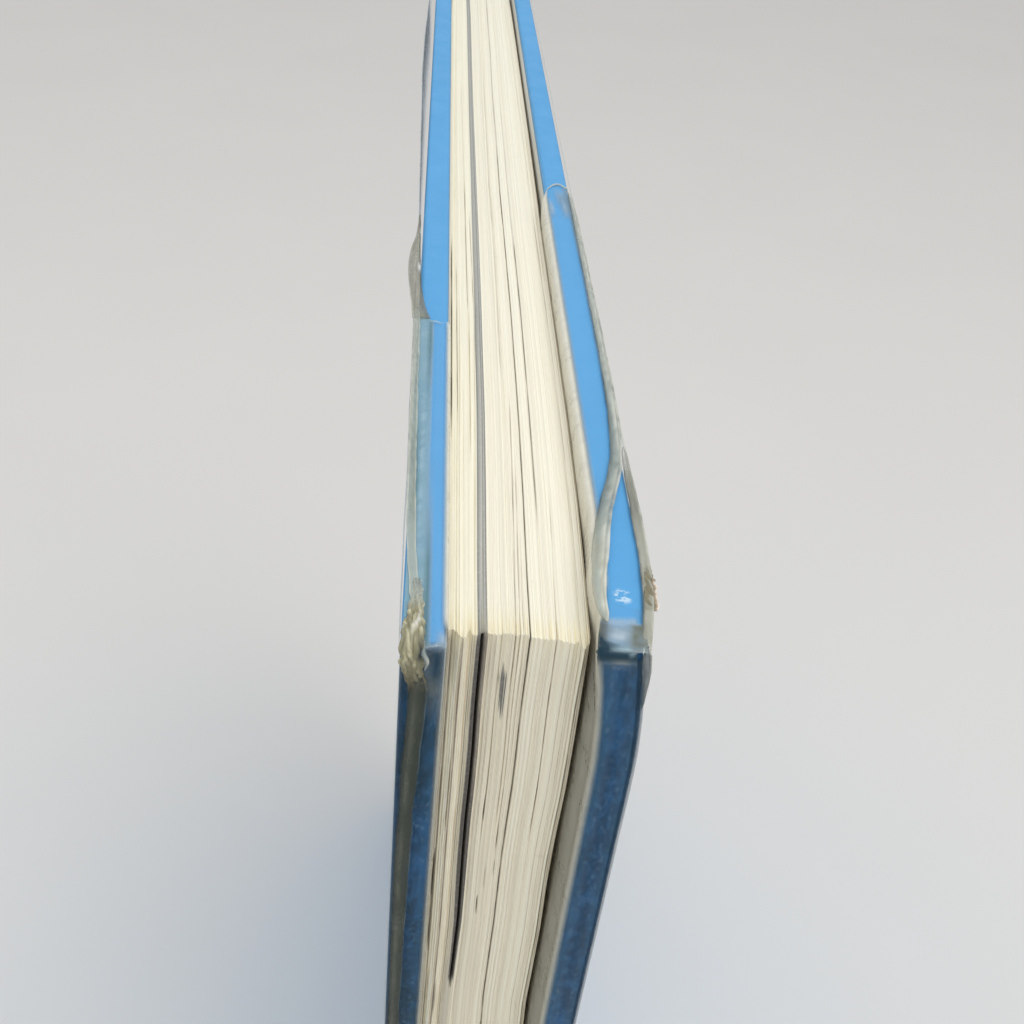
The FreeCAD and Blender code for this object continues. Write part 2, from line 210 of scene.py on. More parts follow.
def tube(path, side, up, half_width, half_height, around=10, square=0.6):
    """A strip swept along a path and closed at both ends.

    Its section is a superellipse: side times half_width times the signed power of the cosine,
    plus up times half_height times the signed power of the sine.
    """
    a = np.linspace(0, 2 * np.pi, around, endpoint=False) + np.pi / around
    c, s = np.cos(a), np.sin(a)
    c, s = np.sign(c) * np.abs(c) ** square, np.sign(s) * np.abs(s) ** square
    w, h = (np.broadcast_to(v, len(path))[:, None, None] for v in (half_width, half_height))
    points = path[:, None] + side[:, None] * w * c[None, :, None] + up[:, None] * h * s[None, :, None]
    faces = grid_faces(len(path), around, wrap=True).tolist()
    last = (len(path) - 1) * around
    faces += [list(range(around))[::-1], list(range(last, last + around))]
    return points.reshape(-1, 3), faces, np.tile(c, len(path))


def join(*parts):
    """Several (points, faces) as one."""
    points, faces, count = [], [], 0
    for p, f in parts:
        points.append(p)
        faces += [[i + count for i in face] for face in f]
        count += len(p)
    return np.concatenate(points), faces


def make_piece(name, points, faces, material, colours=None, uv=None, crisp=35.0, merge=0.0004):
    """A mesh object from points in millimetres, with its faces turned outwards.

    Vertices nearer than merge millimetres are made one. Edges sharper than crisp degrees stay sharp.
    """
    mesh = bpy.data.meshes.new(name)
    mesh.from_pydata((np.asarray(points) * MM).tolist(), [], faces)
    if colours is not None:
        full = np.ones((len(points), 4), np.float32)
        full[:, : colours.shape[1]] = colours
        mesh.attributes.new("film" if colours.shape[1] == 4 else "tint", "FLOAT_COLOR", "POINT").data.foreach_set(
            "color", full.ravel()
        )
    if uv is not None:
        corners = np.zeros(len(mesh.loops), np.int32)
        mesh.loops.foreach_get("vertex_index", corners)
        mesh.uv_layers.new(name="OFBake").data.foreach_set("uv", uv[corners].astype(np.float32).ravel())
    work = bmesh.new()
    work.from_mesh(mesh)
    if merge:
        bmesh.ops.remove_doubles(work, verts=work.verts, dist=merge * MM)
        bmesh.ops.dissolve_degenerate(work, edges=work.edges, dist=merge * MM)
    bmesh.ops.recalc_face_normals(work, faces=work.faces)
    work.to_mesh(mesh)
    work.free()
    mesh.polygons.foreach_set("use_smooth", np.ones(len(mesh.polygons), bool))
    mesh.set_sharp_from_angle(angle=math.radians(crisp))
    mesh.materials.append(material)
    piece = bpy.data.objects.new(name, mesh)
    bpy.context.scene.collection.objects.link(piece)
    return piece


def over_hinge(piece):
    """Bakes the place of a piece that crosses the groove into its mesh; it is not bent to follow the block or the
    cover.
    """
    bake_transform(piece)


# Materials.

def add(tree, kind, sockets=None, **settings):
    """A node with its settings; a socket takes a number, a colour or another node's output."""
    node = tree.nodes.new(kind)
    for key, value in settings.items():
        setattr(node, key, value)
    for key, value in (sockets or {}).items():
        if isinstance(value, bpy.types.NodeSocket):
            tree.links.new(value, node.inputs[key])
        else:
            node.inputs[key].default_value = value
    return node


def rgb(colour):
    return (*colour[:3], 1.0)


def mixed(tree, factor, a, b, mode="MIX"):
    """Colour a turned to b by factor."""
    a, b = (rgb(v) if isinstance(v, (tuple, list)) else v for v in (a, b))
    return add(tree, "ShaderNodeMix", {0: factor, 6: a, 7: b}, data_type="RGBA", blend_type=mode).outputs[2]


def maths(tree, kind, *values):
    return add(tree, "ShaderNodeMath", dict(enumerate(values)), operation=kind).outputs[0]


def remap(tree, value, low, high, to_low=0.0, to_high=1.0):
    """value from low..high to to_low..to_high, held at the ends and eased between."""
    return add(
        tree, "ShaderNodeMapRange", {0: value, 1: low, 2: high, 3: to_low, 4: to_high},
        interpolation_type="SMOOTHSTEP",
    ).outputs[0]


def coordinates(tree, scale=(1, 1, 1), place_at=(0, 0, 0)):
    """Object coordinates in metres, stretched by scale."""
    source = add(tree, "ShaderNodeTexCoord").outputs["Object"]
    return add(
        tree, "ShaderNodeMapping", {"Vector": source, "Scale": scale, "Location": place_at}
    ).outputs[0]


def noise(tree, vector, scale, detail=3.0, rough=0.55):
    return add(
        tree, "ShaderNodeTexNoise", {"Vector": vector, "Scale": scale, "Detail": detail, "Roughness": rough}
    ).outputs[0]


def relief(tree, height, strength, distance):
    return add(
        tree, "ShaderNodeBump", {"Height": height, "Strength": strength, "Distance": distance}
    ).outputs[0]


def new_material(name):
    """An empty material with a Principled shader."""
    material = bpy.data.materials.new(name)
    material.use_nodes = True
    tree = material.node_tree
    tree.nodes.clear()
    shader = add(tree, "ShaderNodeBsdfPrincipled")
    out = add(tree, "ShaderNodeOutputMaterial")
    tree.links.new(shader.outputs[0], out.inputs[0])
    return material, tree, shader


def feed(tree, shader, **sockets):
    """Sets or links the shader's sockets; an underscore in a name stands for a space."""
    for key, value in sockets.items():
        socket = shader.inputs[key.replace("_", " ")]
        if isinstance(value, bpy.types.NodeSocket):
            tree.links.new(value, socket)
        else:
            socket.default_value = value


def leaf_edge_material():
    """Cut edges of book paper: the tint attribute, with fine streaks along the leaves and paper fibre."""
    material, tree, shader = new_material("leaf_edges")
    tint = add(tree, "ShaderNodeAttribute", attribute_name="tint").outputs["Color"]
    uv = add(tree, "ShaderNodeUVMap", uv_map="OFBake").outputs[0]
    streak_at = add(tree, "ShaderNodeMapping", {"Vector": uv, "Scale": (420, 60, 1)}).outputs[0]
    streak = noise(tree, streak_at, 1.0, 2.0)
    broad_at = add(tree, "ShaderNodeMapping", {"Vector": uv, "Scale": (60, 14, 1)}).outputs[0]
    broad = noise(tree, broad_at, 1.0, 2.0)
    fibre = noise(tree, coordinates(tree), 2600, 4.0)
    spots = noise(tree, coordinates(tree, place_at=(0.3, 0.1, 0.2)), 420, 4.0)
    colour = mixed(tree, remap(tree, streak, 0.35, 0.75, 0.0, 0.07), tint, (0.50, 0.44, 0.34))
    colour = mixed(tree, remap(tree, broad, 0.4, 0.75, 0.0, 0.06), colour, (0.66, 0.55, 0.38))
    colour = mixed(tree, remap(tree, fibre, 0.45, 0.8, 0.0, 0.14), colour, (0.96, 0.94, 0.86))
    colour = mixed(tree, remap(tree, spots, 0.70, 0.80, 0.0, 0.14), colour, (0.42, 0.34, 0.24))
    height = maths(tree, "ADD", maths(tree, "MULTIPLY", streak, 0.6), maths(tree, "MULTIPLY", fibre, 0.4))
    feed(tree, shader, Base_Color=colour, Roughness=0.88, Specular_IOR_Level=0.25,
         Normal=relief(tree, height, 0.35, 0.0001))
    return material


def paper_material(name):
    """Smooth uncoated paper: the tint attribute with a cloudy tone, soft foxing and fine fibre."""
    material, tree, shader = new_material(name)
    tint = add(tree, "ShaderNodeAttribute", attribute_name="tint").outputs["Color"]
    clouds = noise(tree, coordinates(tree), 28, 4.0)
    fibre = noise(tree, coordinates(tree), 2400, 3.0)
    marble = noise(tree, coordinates(tree, place_at=(1, 2, 3)), 260, 5.0, 0.65)
    base = mixed(tree, remap(tree, clouds, 0.3, 0.75, 0.0, 0.5), tint, (0.86, 0.85, 0.80), "MULTIPLY")
    base = mixed(tree, remap(tree, marble, 0.45, 0.7, 0.0, 0.25), base, (0.84, 0.80, 0.70), "MULTIPLY")
    base = mixed(tree, remap(tree, fibre, 0.3, 0.8, 0.0, 0.08), base, (0.93, 0.91, 0.86))
    feed(tree, shader, Base_Color=base, Roughness=0.82, Specular_IOR_Level=0.3,
         Normal=relief(tree, fibre, 0.2, 0.00006))
    return material


def cloth_material(colours):
    """Coated book cloth: fine pebbled grain, mottled blue, pale scuffs at the corners and edges.

    The fore-edge face is darker and greyer, with light specks: partly rubbed grime, partly painted shade of the face
    turned away from the light.
    """
    material, tree, shader = new_material("book_cloth")
    at = coordinates(tree)
    split = add(tree, "ShaderNodeSeparateXYZ", {0: at})
    x, z = split.outputs[0], split.outputs[2]
    mottle = noise(tree, at, 260, 4.0)
    clouds = noise(tree, coordinates(tree, place_at=(4, 1, 2)), 40, 3.0)
    grain = add(tree, "ShaderNodeTexVoronoi", {"Vector": at, "Scale": 2600.0}, feature="F1").outputs[0]
    weave = noise(tree, coordinates(tree, (1, 1, 0.45)), 3200, 2.0)
    blue = tuple(colours.cloth)
    colour = mixed(tree, remap(tree, mottle, 0.3, 0.7, 0.0, 0.22), blue, tuple(0.82 * c for c in blue))
    colour = mixed(tree, remap(tree, clouds, 0.3, 0.7, 0.0, 0.25), colour, tuple(min(1, 1.12 * c) for c in blue))
    y = split.outputs[1]
    worn = noise(tree, coordinates(tree, (1, 1, 0.5), (2, 2, 2)), 900, 4.0, 0.6)
    # the fore-edge face below the head: rubbed grime together with painted shade of the face turned from the light
    edge = remap(tree, x, (FORE_X - 0.6) * MM, (FORE_X - 0.28) * MM)
    low = remap(tree, z, (CASE_HEAD + 0.1) * MM, (CASE_HEAD - 0.22) * MM)
    fore_edge_shade_and_wear = maths(tree, "MULTIPLY", edge, low)
    # distance from the middle of the board's thickness, allowing for the lean of the back cover
    behind = maths(tree, "GREATER_THAN", y, 0.0)
    out = maths(tree, "ADD", maths(tree, "ABSOLUTE", y), maths(tree, "MULTIPLY", behind, 1.22 * MM))
    off = maths(tree, "ABSOLUTE", maths(tree, "SUBTRACT", out, (CASE_IN + CASE_OUT) / 2 * MM))
    dark = tuple(colours.cloth_grime_and_shade)
    streaks = noise(tree, coordinates(tree, (1, 3.0, 0.12), (1, 6, 1)), 700, 4.0, 0.6)
    third = maths(tree, "MULTIPLY", remap(tree, off, 0.35 * MM, 1.3 * MM), remap(tree, streaks, 0.3, 0.7, 0.35, 1.0))
    grime = mixed(tree, remap(tree, worn, 0.42, 0.68, 0.0, 0.9), dark, tuple(2.1 * c for c in dark))
    grime = mixed(tree, maths(tree, "MULTIPLY", third, 0.5), grime, (0.025, 0.105, 0.21))
    patches = noise(tree, coordinates(tree, (1, 1, 0.5), (8, 2, 5)), 190, 4.0, 0.65)
    grime = mixed(tree, remap(tree, patches, 0.5, 0.72, 0.0, 0.55), grime, (0.018, 0.10, 0.25))
    grime = mixed(tree, remap(tree, patches, 0.5, 0.34, 0.0, 0.7), grime, (0.006, 0.026, 0.040))
    # painted shade and grime: the fore-edge face almost wholly takes the dark colour
    colour = mixed(tree, maths(tree, "MULTIPLY", fore_edge_shade_and_wear, 0.98), colour, grime)
    specks = noise(tree, coordinates(tree, (1, 1, 0.6), (5, 3, 1)), 2600, 2.0, 0.7)
    colour = mixed(
        tree, maths(tree, "MULTIPLY", fore_edge_shade_and_wear, remap(tree, specks, 0.54, 0.72, 0.0, 0.42)), colour, (0.10, 0.20, 0.30)
    )
    # a scuff in the middle of the back board's head edge, 6 mm from the corner
    spot = None
    for value, centre, half in ((x, FORE_X - 6.75, 1.6), (out, 8.62, 1.3), (z, CASE_HEAD, 0.7)):
        near = maths(tree, "ABSOLUTE", maths(tree, "SUBTRACT", value, centre * MM))
        near = remap(tree, near, 0.0, half * MM, 1.0, 0.0)
        spot = near if spot is None else maths(tree, "MULTIPLY", spot, near)
    spot = maths(tree, "MULTIPLY", spot, behind)
    scratch = noise(tree, coordinates(tree, (1.6, 0.8, 1), (3, 7, 2)), 1500, 4.0, 0.6)
    scuff = remap(tree, maths(tree, "MULTIPLY", spot, remap(tree, scratch, 0.36, 0.64)), 0.14, 0.60, 0.0, 0.75)
    colour = mixed(tree, scuff, colour, (0.66, 0.82, 0.92))
    height = maths(tree, "ADD", maths(tree, "MULTIPLY", grain, 0.5), maths(tree, "MULTIPLY", weave, 0.5))
    feed(tree, shader, Base_Color=colour, Roughness=remap(tree, mottle, 0.3, 0.7, 0.42, 0.56),
         Specular_IOR_Level=0.10, Normal=relief(tree, height, 0.3, 0.00008))
    return material


def vinyl_material():
    """Aged clear vinyl: the film attribute gives its tint and how much it hides.

    Haze and grime raise both in patches and in streaks along the edges.
    """
    material, tree, shader = new_material("aged_vinyl")
    film = add(tree, "ShaderNodeAttribute", attribute_name="film")
    haze = noise(tree, coordinates(tree, (1, 1, 1)), 300, 5.0, 0.62)
    dirt = noise(tree, coordinates(tree, (0.22, 1, 0.22), (7, 1, 4)), 1700, 4.0, 0.65)
    wrinkle = noise(tree, coordinates(tree, (0.3, 1, 0.3), (3, 3, 3)), 700, 3.0)
    shown = film.outputs["Alpha"]
    colour = mixed(tree, remap(tree, dirt, 0.52, 0.9, 0.0, 0.14), film.outputs["Color"], (0.20, 0.19, 0.13))
    colour = mixed(tree, remap(tree, haze, 0.58, 0.8, 0.0, 0.10), colour, (0.82, 0.84, 0.80))
    hiding = maths(tree, "MULTIPLY", shown, remap(tree, haze, 0.3, 0.7, 0.90, 1.08))
    hiding = add(tree, "ShaderNodeClamp", {0: hiding, 1: 0.008, 2: 1.0}).outputs[0]
    feed(tree, shader, Base_Color=colour, Roughness=remap(tree, haze, 0.3, 0.7, 0.22, 0.45), IOR=1.48,
         Specular_IOR_Level=0.28, Alpha=hiding, Normal=relief(tree, wrinkle, 0.14, 0.0002))
    return material


def woven_material(name, light, dark, threads):
    """Plain weave: two crossed waves of thread, darker in the holes between."""
    material, tree, shader = new_material(name)
    at = coordinates(tree)
    split = add(tree, "ShaderNodeSeparateXYZ", {0: at})
    warp = maths(tree, "SINE", maths(tree, "MULTIPLY", split.outputs[2], threads))
    weft = maths(tree, "SINE", maths(tree, "MULTIPLY", maths(tree, "ADD", split.outputs[1], split.outputs[0]), threads))
    lattice = maths(tree, "MAXIMUM", warp, weft)
    fuzz = noise(tree, at, 1500, 4.0)
    colour = mixed(tree, remap(tree, lattice, -0.6, 0.7), dark, light)
    colour = mixed(tree, remap(tree, fuzz, 0.3, 0.8, 0.0, 0.4), colour, tuple(0.75 * c for c in light))
    feed(tree, shader, Base_Color=colour, Roughness=0.9, Specular_IOR_Level=0.2,
         Normal=relief(tree, lattice, 0.5, 0.0001))
    return material


def pressed_material(name, colour, fleck, grain):
    """Kraft paper or grey board: pressed fibre with darker and lighter flecks."""
    material, tree, shader = new_material(name)
    fibres = noise(tree, coordinates(tree, (1, 0.4, 0.15)), grain, 5.0, 0.7)
    clouds = noise(tree, coordinates(tree, place_at=(1, 5, 2)), 90, 3.0)
    base = mixed(tree, remap(tree, fibres, 0.4, 0.75, 0.0, 0.7), colour, fleck)
    base = mixed(tree, remap(tree, clouds, 0.3, 0.7, 0.0, 0.25), base, tuple(0.8 * c for c in colour))
    feed(tree, shader, Base_Color=base, Roughness=0.92, Specular_IOR_Level=0.2,
         Normal=relief(tree, fibres, 0.3, 0.0001))
    return material


def thread_material(colours):
    """Headband cotton: twisted thread in two shades, changing every few wraps along the band."""
    material, tree, shader = new_material("headband_thread")
    at = coordinates(tree)
    y = add(tree, "ShaderNodeSeparateXYZ", {0: at}).outputs[1]
    wraps = maths(tree, "SINE", maths(tree, "MULTIPLY", y, 2 * math.pi / (2.4 * MM)))
    fuzz = noise(tree, at, 3000, 3.0)
    colour = mixed(tree, remap(tree, wraps, -0.15, 0.15), (0.82, 0.80, 0.74), tuple(colours.band))
    colour = mixed(tree, remap(tree, fuzz, 0.35, 0.75, 0.0, 0.35), colour, (0.60, 0.58, 0.52))
    feed(tree, shader, Base_Color=colour, Roughness=0.85, Specular_IOR_Level=0.25,
         Normal=relief(tree, fuzz, 0.3, 0.0001))
    return material


# The text block.
#
# m is the distance along the head from the corner of head and fore-edge, negative towards the
# spine, and d is the distance down from the head. Each row gives where the first leaf, the grey
# section, the dark gap and the last leaf lie, in millimetres from the middle plane.

SECTION_SHARES = (0.0, 0.245, 0.588, 1.0)
HEAD_LINES = (
    (-229, -6.92, -3.25, 1.10, 6.57),
    (-205, -7.04, -3.28, 1.00, 6.59),
    (-180, -7.07, -3.34, 0.90, 6.50),
    (-150, -7.08, -3.44, 0.66, 6.34),
    (-125, -7.07, -3.47, 0.56, 6.20),
    (-100, -7.06, -3.50, 0.46, 6.01),
    (-85, -7.03, -3.50, 0.50, 5.87),
    (-60, -6.99, -3.52, 0.56, 5.77),
    (-50, -6.97, -3.58, 0.50, 5.73),
    (-35, -6.97, -3.66, 0.40, 5.65),
    (-20, -6.97, -3.86, 0.24, 5.45),
    (-8, -6.97, -4.04, 0.00, 5.10),
    (0, -6.97, -4.12, -0.10, 4.82),
)
FORE_LINES = (
    (0, -6.80, -4.12, -0.10, 4.78),
    (10, -6.80, -4.05, -0.05, 4.92),
    (15, -6.80, -3.95, 0.05, 4.97),
    (20, -6.80, -3.93, 0.10, 4.96),
    (25, -6.80, -3.96, 0.04, 4.82),
    (30, -6.80, -3.90, 0.00, 4.73),
    (35, -6.80, -3.80, 0.05, 4.77),
    (42, -6.80, -3.66, 0.12, 4.92),
    (50, -6.80, -3.76, 0.08, 4.86),
    (56, -6.80, -3.86, 0.06, 4.78),
    (64, -6.80, -3.90, 0.28, 5.04),
    (90, -6.80, -3.70, 0.22, 4.88),
    (130, -6.80, -3.92, 0.02, 4.78),
    (180, -6.80, -3.74, 0.16, 4.92),
    (240, -6.80, -3.92, 0.06, 4.80),
    (305, -6.80, -3.86, 0.10, 4.88),
)
CORNER_X = LEAF_HIGH[0] - 0.5


def section_lines(x, z):
    """The four section lines at x and z: the head's, plus the fore-edge's wave, which fades in 70 mm."""
    m, d = np.minimum(x - CORNER_X, 0), (LEAF_HIGH[2] - z).clip(0)
    head, fore = np.array(HEAD_LINES), np.array(FORE_LINES)
    reach = smooth((m + 70) / 70)
    return [
        np.interp(m, head[:, 0], head[:, k]) + reach * (np.interp(d, fore[:, 0], fore[:, k]) - fore[0, k])
        for k in range(1, 5)
    ]


def leaf_y(share, x, z):
    """y of the leaf at a share of the thickness, straight between the section lines."""
    lines = section_lines(x, z)
    y = lines[0]
    for k in range(3):
        low, high = SECTION_SHARES[k : k + 2]
        y = y + (lines[k + 1] - lines[k]) * np.clip((share - low) / (high - low), 0, 1)
    return y


# How far the fore-edge stands out beside the head, in millimetres, at shares of the thickness.
FORE_RELIEF = (
    (0.0, 0.22), (0.036, 0.0), (0.055, 0.35), (0.072, 0.80), (0.095, 0.98), (0.109, 1.20), (0.125, 0.95), (0.146, 0.10),
    (0.16, 0.35), (0.175, 0.65), (0.20, 0.68), (0.235, 0.30), (0.26, 0.22), (0.30, 0.45), (0.33, 0.45), (0.36, 0.55),
    (0.39, 0.30), (0.44, 0.28), (0.50, 0.40), (0.54, 0.20), (0.60, 0.45), (0.65, 0.50), (0.72, 0.50), (0.78, 0.34),
    (0.84, 0.52), (0.89, 0.62), (0.92, 0.20), (0.94, 0.50), (0.963, 0.95), (0.985, 0.50), (1.0, 0.20),
)
# How bright the fore-edge is at shares of the thickness; in the first quarter the values are raised, painted light
# against the shade that the front cover casts there.
FORE_TONES = (
    (0.0, 0.78), (0.018, 0.78), (0.034, 0.76), (0.046, 1.22), (0.075, 1.26), (0.085, 1.04), (0.094, 0.84), (0.108, 0.86),
    (0.12, 1.06), (0.15, 1.12), (0.162, 1.02), (0.172, 0.82), (0.19, 0.86), (0.20, 0.70), (0.215, 0.72), (0.270, 0.92),
    (0.285, 1.04), (0.305, 1.04), (0.32, 0.92), (0.35, 0.95), (0.37, 1.02), (0.395, 1.0), (0.44, 1.0),
    (0.60, 1.0), (0.72, 1.02), (0.90, 1.02), (0.96, 1.04), (1.0, 0.85),
)
# Stripes on the cut edges: share at the start and end, m or d at the start and end (negative on the
# head), half width in millimetres, colour, strength, and depth of the crack in millimetres. The
# near-black and dark brown stripes over the deeper cracks are painted shade in the gaps between
# leaves.
GAP_SHADE = (0.035, 0.032, 0.030)
BROWN = (0.24, 0.15, 0.075)
TAN = (0.58, 0.42, 0.20)
SHADE = (0.34, 0.31, 0.26)
SLATE = (0.155, 0.160, 0.165)
STRIPES = (
    # the dark gap: painted shade in the parting between two sections, over a crack
    (0.588, 0.588, -226, -110, 0.10, (0.46, 0.45, 0.41), 0.75, 0.15),
    (0.588, 0.588, -112, 2, 0.05, (0.11, 0.11, 0.11), 0.92, 0.45),
    (0.588, 0.588, 0, 305, 0.05, (0.06, 0.065, 0.07), 0.94, 0.55),
    (0.600, 0.600, -110, 2, 0.05, (0.93, 0.91, 0.84), 0.5, 0.0),
    # the head's middle
    (0.452, 0.452, -155, -44, 0.07, (0.60, 0.58, 0.52), 0.7, 0.1),
    (0.672, 0.690, -140, -60, 0.09, (0.62, 0.61, 0.57), 0.7, 0.1),
    (0.690, 0.684, -80, -18, 0.05, (0.22, 0.22, 0.20), 0.85, 0.3),
    (0.515, 0.482, -38, 1, 0.05, (0.42, 0.39, 0.35), 0.75, 0.2),
    (0.530, 0.512, -24, 1, 0.045, (0.46, 0.43, 0.37), 0.7, 0.2),
    (0.545, 0.536, -14, 1, 0.035, (0.55, 0.50, 0.42), 0.5, 0.1),
    (0.790, 0.772, -20, 1, 0.035, (0.56, 0.52, 0.44), 0.5, 0.15),
    # the head's last leaves
    (0.900, 0.948, -215, -60, 0.06, (0.70, 0.69, 0.64), 0.5, 0.1),
    (0.940, 0.950, -88, -8, 0.035, (0.45, 0.44, 0.40), 0.65, 0.12),
    (0.962, 0.972, -150, -70, 0.06, (0.66, 0.59, 0.42), 0.6, 0.12),
    (0.978, 0.990, -140, 1, 0.03, (0.56, 0.48, 0.33), 0.5, 0.08),
    (0.935, 0.940, -45, 1, 0.035, (0.55, 0.52, 0.45), 0.45, 0.1),
    # the head's first leaves
    (0.012, 0.012, -226, 1, 0.07, (0.72, 0.64, 0.44), 0.45, 0.0),
    (0.042, 0.032, -170, 1, 0.06, (0.66, 0.53, 0.32), 0.4, 0.15),
    (0.006, 0.010, -78, -32, 0.055, GAP_SHADE, 0.9, 0.5),
    (0.050, 0.060, -70, -34, 0.03, (0.30, 0.22, 0.13), 0.7, 0.25),
    (0.078, 0.072, -60, 1, 0.045, TAN, 0.45, 0.15),
    (0.120, 0.150, -150, -66, 0.08, (0.68, 0.61, 0.50), 0.5, 0.1),
    (0.145, 0.150, -100, -58, 0.045, (0.36, 0.33, 0.28), 0.65, 0.2),
    (0.190, 0.210, -88, -46, 0.05, (0.46, 0.42, 0.36), 0.6, 0.2),
    (0.160, 0.162, -60, -28, 0.04, (0.40, 0.29, 0.16), 0.6, 0.2),
    (0.200, 0.190, -52, 1, 0.04, (0.50, 0.42, 0.29), 0.55, 0.2),
    (0.105, 0.110, -40, 1, 0.05, (0.70, 0.60, 0.42), 0.4, 0.1),
    (0.055, 0.050, -36, 1, 0.035, (0.50, 0.38, 0.20), 0.4, 0.1),
    # the fore-edge's first leaves
    (0.010, 0.010, 0, 305, 0.06, (0.55, 0.48, 0.38), 0.5, 0.1),
    (0.026, 0.028, 1, 26, 0.06, (0.22, 0.17, 0.12), 0.75, 0.45),
    (0.030, 0.040, 26, 305, 0.04, (0.20, 0.15, 0.10), 0.7, 0.45),
    (0.020, 0.022, 31, 47, 0.07, GAP_SHADE, 0.95, 1.1),
    (0.052, 0.056, 0, 305, 0.05, (0.42, 0.36, 0.27), 0.6, 0.2),
    (0.068, 0.070, 0, 60, 0.05, (0.30, 0.28, 0.25), 0.6, 0.25),
    (0.086, 0.090, 2, 200, 0.035, (0.48, 0.40, 0.30), 0.5, 0.15),
    (0.104, 0.108, 0, 305, 0.045, (0.26, 0.18, 0.10), 0.7, 0.35),
    (0.088, 0.088, 17, 26, 0.05, (0.18, 0.10, 0.05), 0.85, 0.4),
    (0.126, 0.130, 0, 305, 0.04, (0.58, 0.44, 0.26), 0.65, 0.1),
    (0.140, 0.142, 0, 305, 0.035, (0.40, 0.30, 0.19), 0.6, 0.2),
    (0.158, 0.160, 0, 260, 0.04, (0.55, 0.38, 0.19), 0.65, 0.15),
    (0.172, 0.175, 0, 180, 0.035, (0.34, 0.25, 0.15), 0.6, 0.2),
    (0.188, 0.188, 0, 305, 0.05, (0.36, 0.29, 0.20), 0.55, 0.2),
    (0.112, 0.112, 54, 60, 0.09, (0.07, 0.06, 0.05), 0.85, 0.4),
    (0.045, 0.045, 50, 80, 0.04, (0.16, 0.12, 0.08), 0.8, 0.4),
    # the fore-edge's middle
    (0.280, 0.275, -1, 20, 0.16, (0.62, 0.55, 0.45), 0.55, 0.0),
    (0.310, 0.300, 0, 60, 0.07, (0.56, 0.50, 0.41), 0.45, 0.1),
    (0.345, 0.340, 0, 36, 0.05, (0.60, 0.54, 0.46), 0.45, 0.1),
    (0.388, 0.385, 0, 27, 0.035, (0.34, 0.26, 0.17), 0.65, 0.2),
    (0.385, 0.385, 21.8, 24.6, 0.06, (0.07, 0.06, 0.05), 0.95, 0.3),
    (0.482, 0.500, 0, 24, 0.04, (0.40, 0.31, 0.21), 0.7, 0.2),
    (0.512, 0.530, 0, 30, 0.035, (0.45, 0.36, 0.25), 0.6, 0.2),
    (0.545, 0.552, 0, 18, 0.03, (0.52, 0.44, 0.33), 0.5, 0.1),
    (0.530, 0.530, 26.2, 28.6, 0.05, (0.22, 0.17, 0.12), 0.8, 0.2),
    (0.533, 0.533, 31.0, 33.2, 0.05, (0.16, 0.13, 0.09), 0.85, 0.2),
    (0.405, 0.405, 37.6, 39.8, 0.06, (0.14, 0.11, 0.08), 0.85, 0.3),
    (0.452, 0.452, 32.6, 35.2, 0.08, (0.38, 0.32, 0.26), 0.5, 0.1),
    # the fore-edge's last leaves
    (0.772, 0.792, 0, 26, 0.04, (0.30, 0.20, 0.12), 0.85, 0.3),
    (0.792, 0.790, 22, 160, 0.04, (0.56, 0.49, 0.38), 0.45, 0.1),
    (0.862, 0.872, 0, 305, 0.04, (0.60, 0.54, 0.44), 0.5, 0.1),
    (0.905, 0.915, 0, 305, 0.04, (0.58, 0.52, 0.42), 0.5, 0.1),
    (0.640, 0.650, 0, 200, 0.035, (0.66, 0.60, 0.50), 0.4, 0.1),
    (0.712, 0.716, 0, 305, 0.035, (0.66, 0.60, 0.50), 0.4, 0.1),
    (0.945, 0.940, 0, 305, 0.04, (0.58, 0.50, 0.38), 0.5, 0.15),
    (0.975, 0.972, 0, 305, 0.045, (0.30, 0.22, 0.14), 0.8, 0.45),
    (0.990, 0.990, 0, 305, 0.04, (0.50, 0.40, 0.26), 0.6, 0.1),
    # a speck on the head
    (0.440, 0.446, -103, -101, 0.10, (0.42, 0.39, 0.34), 0.6, 0.0),
)
SMUDGE_SHARE, SMUDGE_D = 0.431, (3.3, 10.8)
GREY_SHARE, GREY_END = 0.246, 54.0


def leaf_outline():
    """The outline of the leaves seen from their face, as m round it, and flags for its three sides."""
    wide, tall = CORNER_X - LEAF_LOW[0], LEAF_HIGH[2] - LEAF_LOW[2]
    head = np.r_[np.linspace(-wide, -112, 15), np.linspace(-106, -4, 42), -2.4, -1.2, -0.5, 0]
    fore = np.r_[0.4, 0.9, 1.6, 2.4, np.linspace(3.2, 68, 60), np.linspace(76, tall, 20)]
    tail = tall + np.r_[0.6, np.linspace(4, wide, 22)]
    m = np.r_[head, fore, tail]
    return m, m <= 0, m > tall, wide, tall


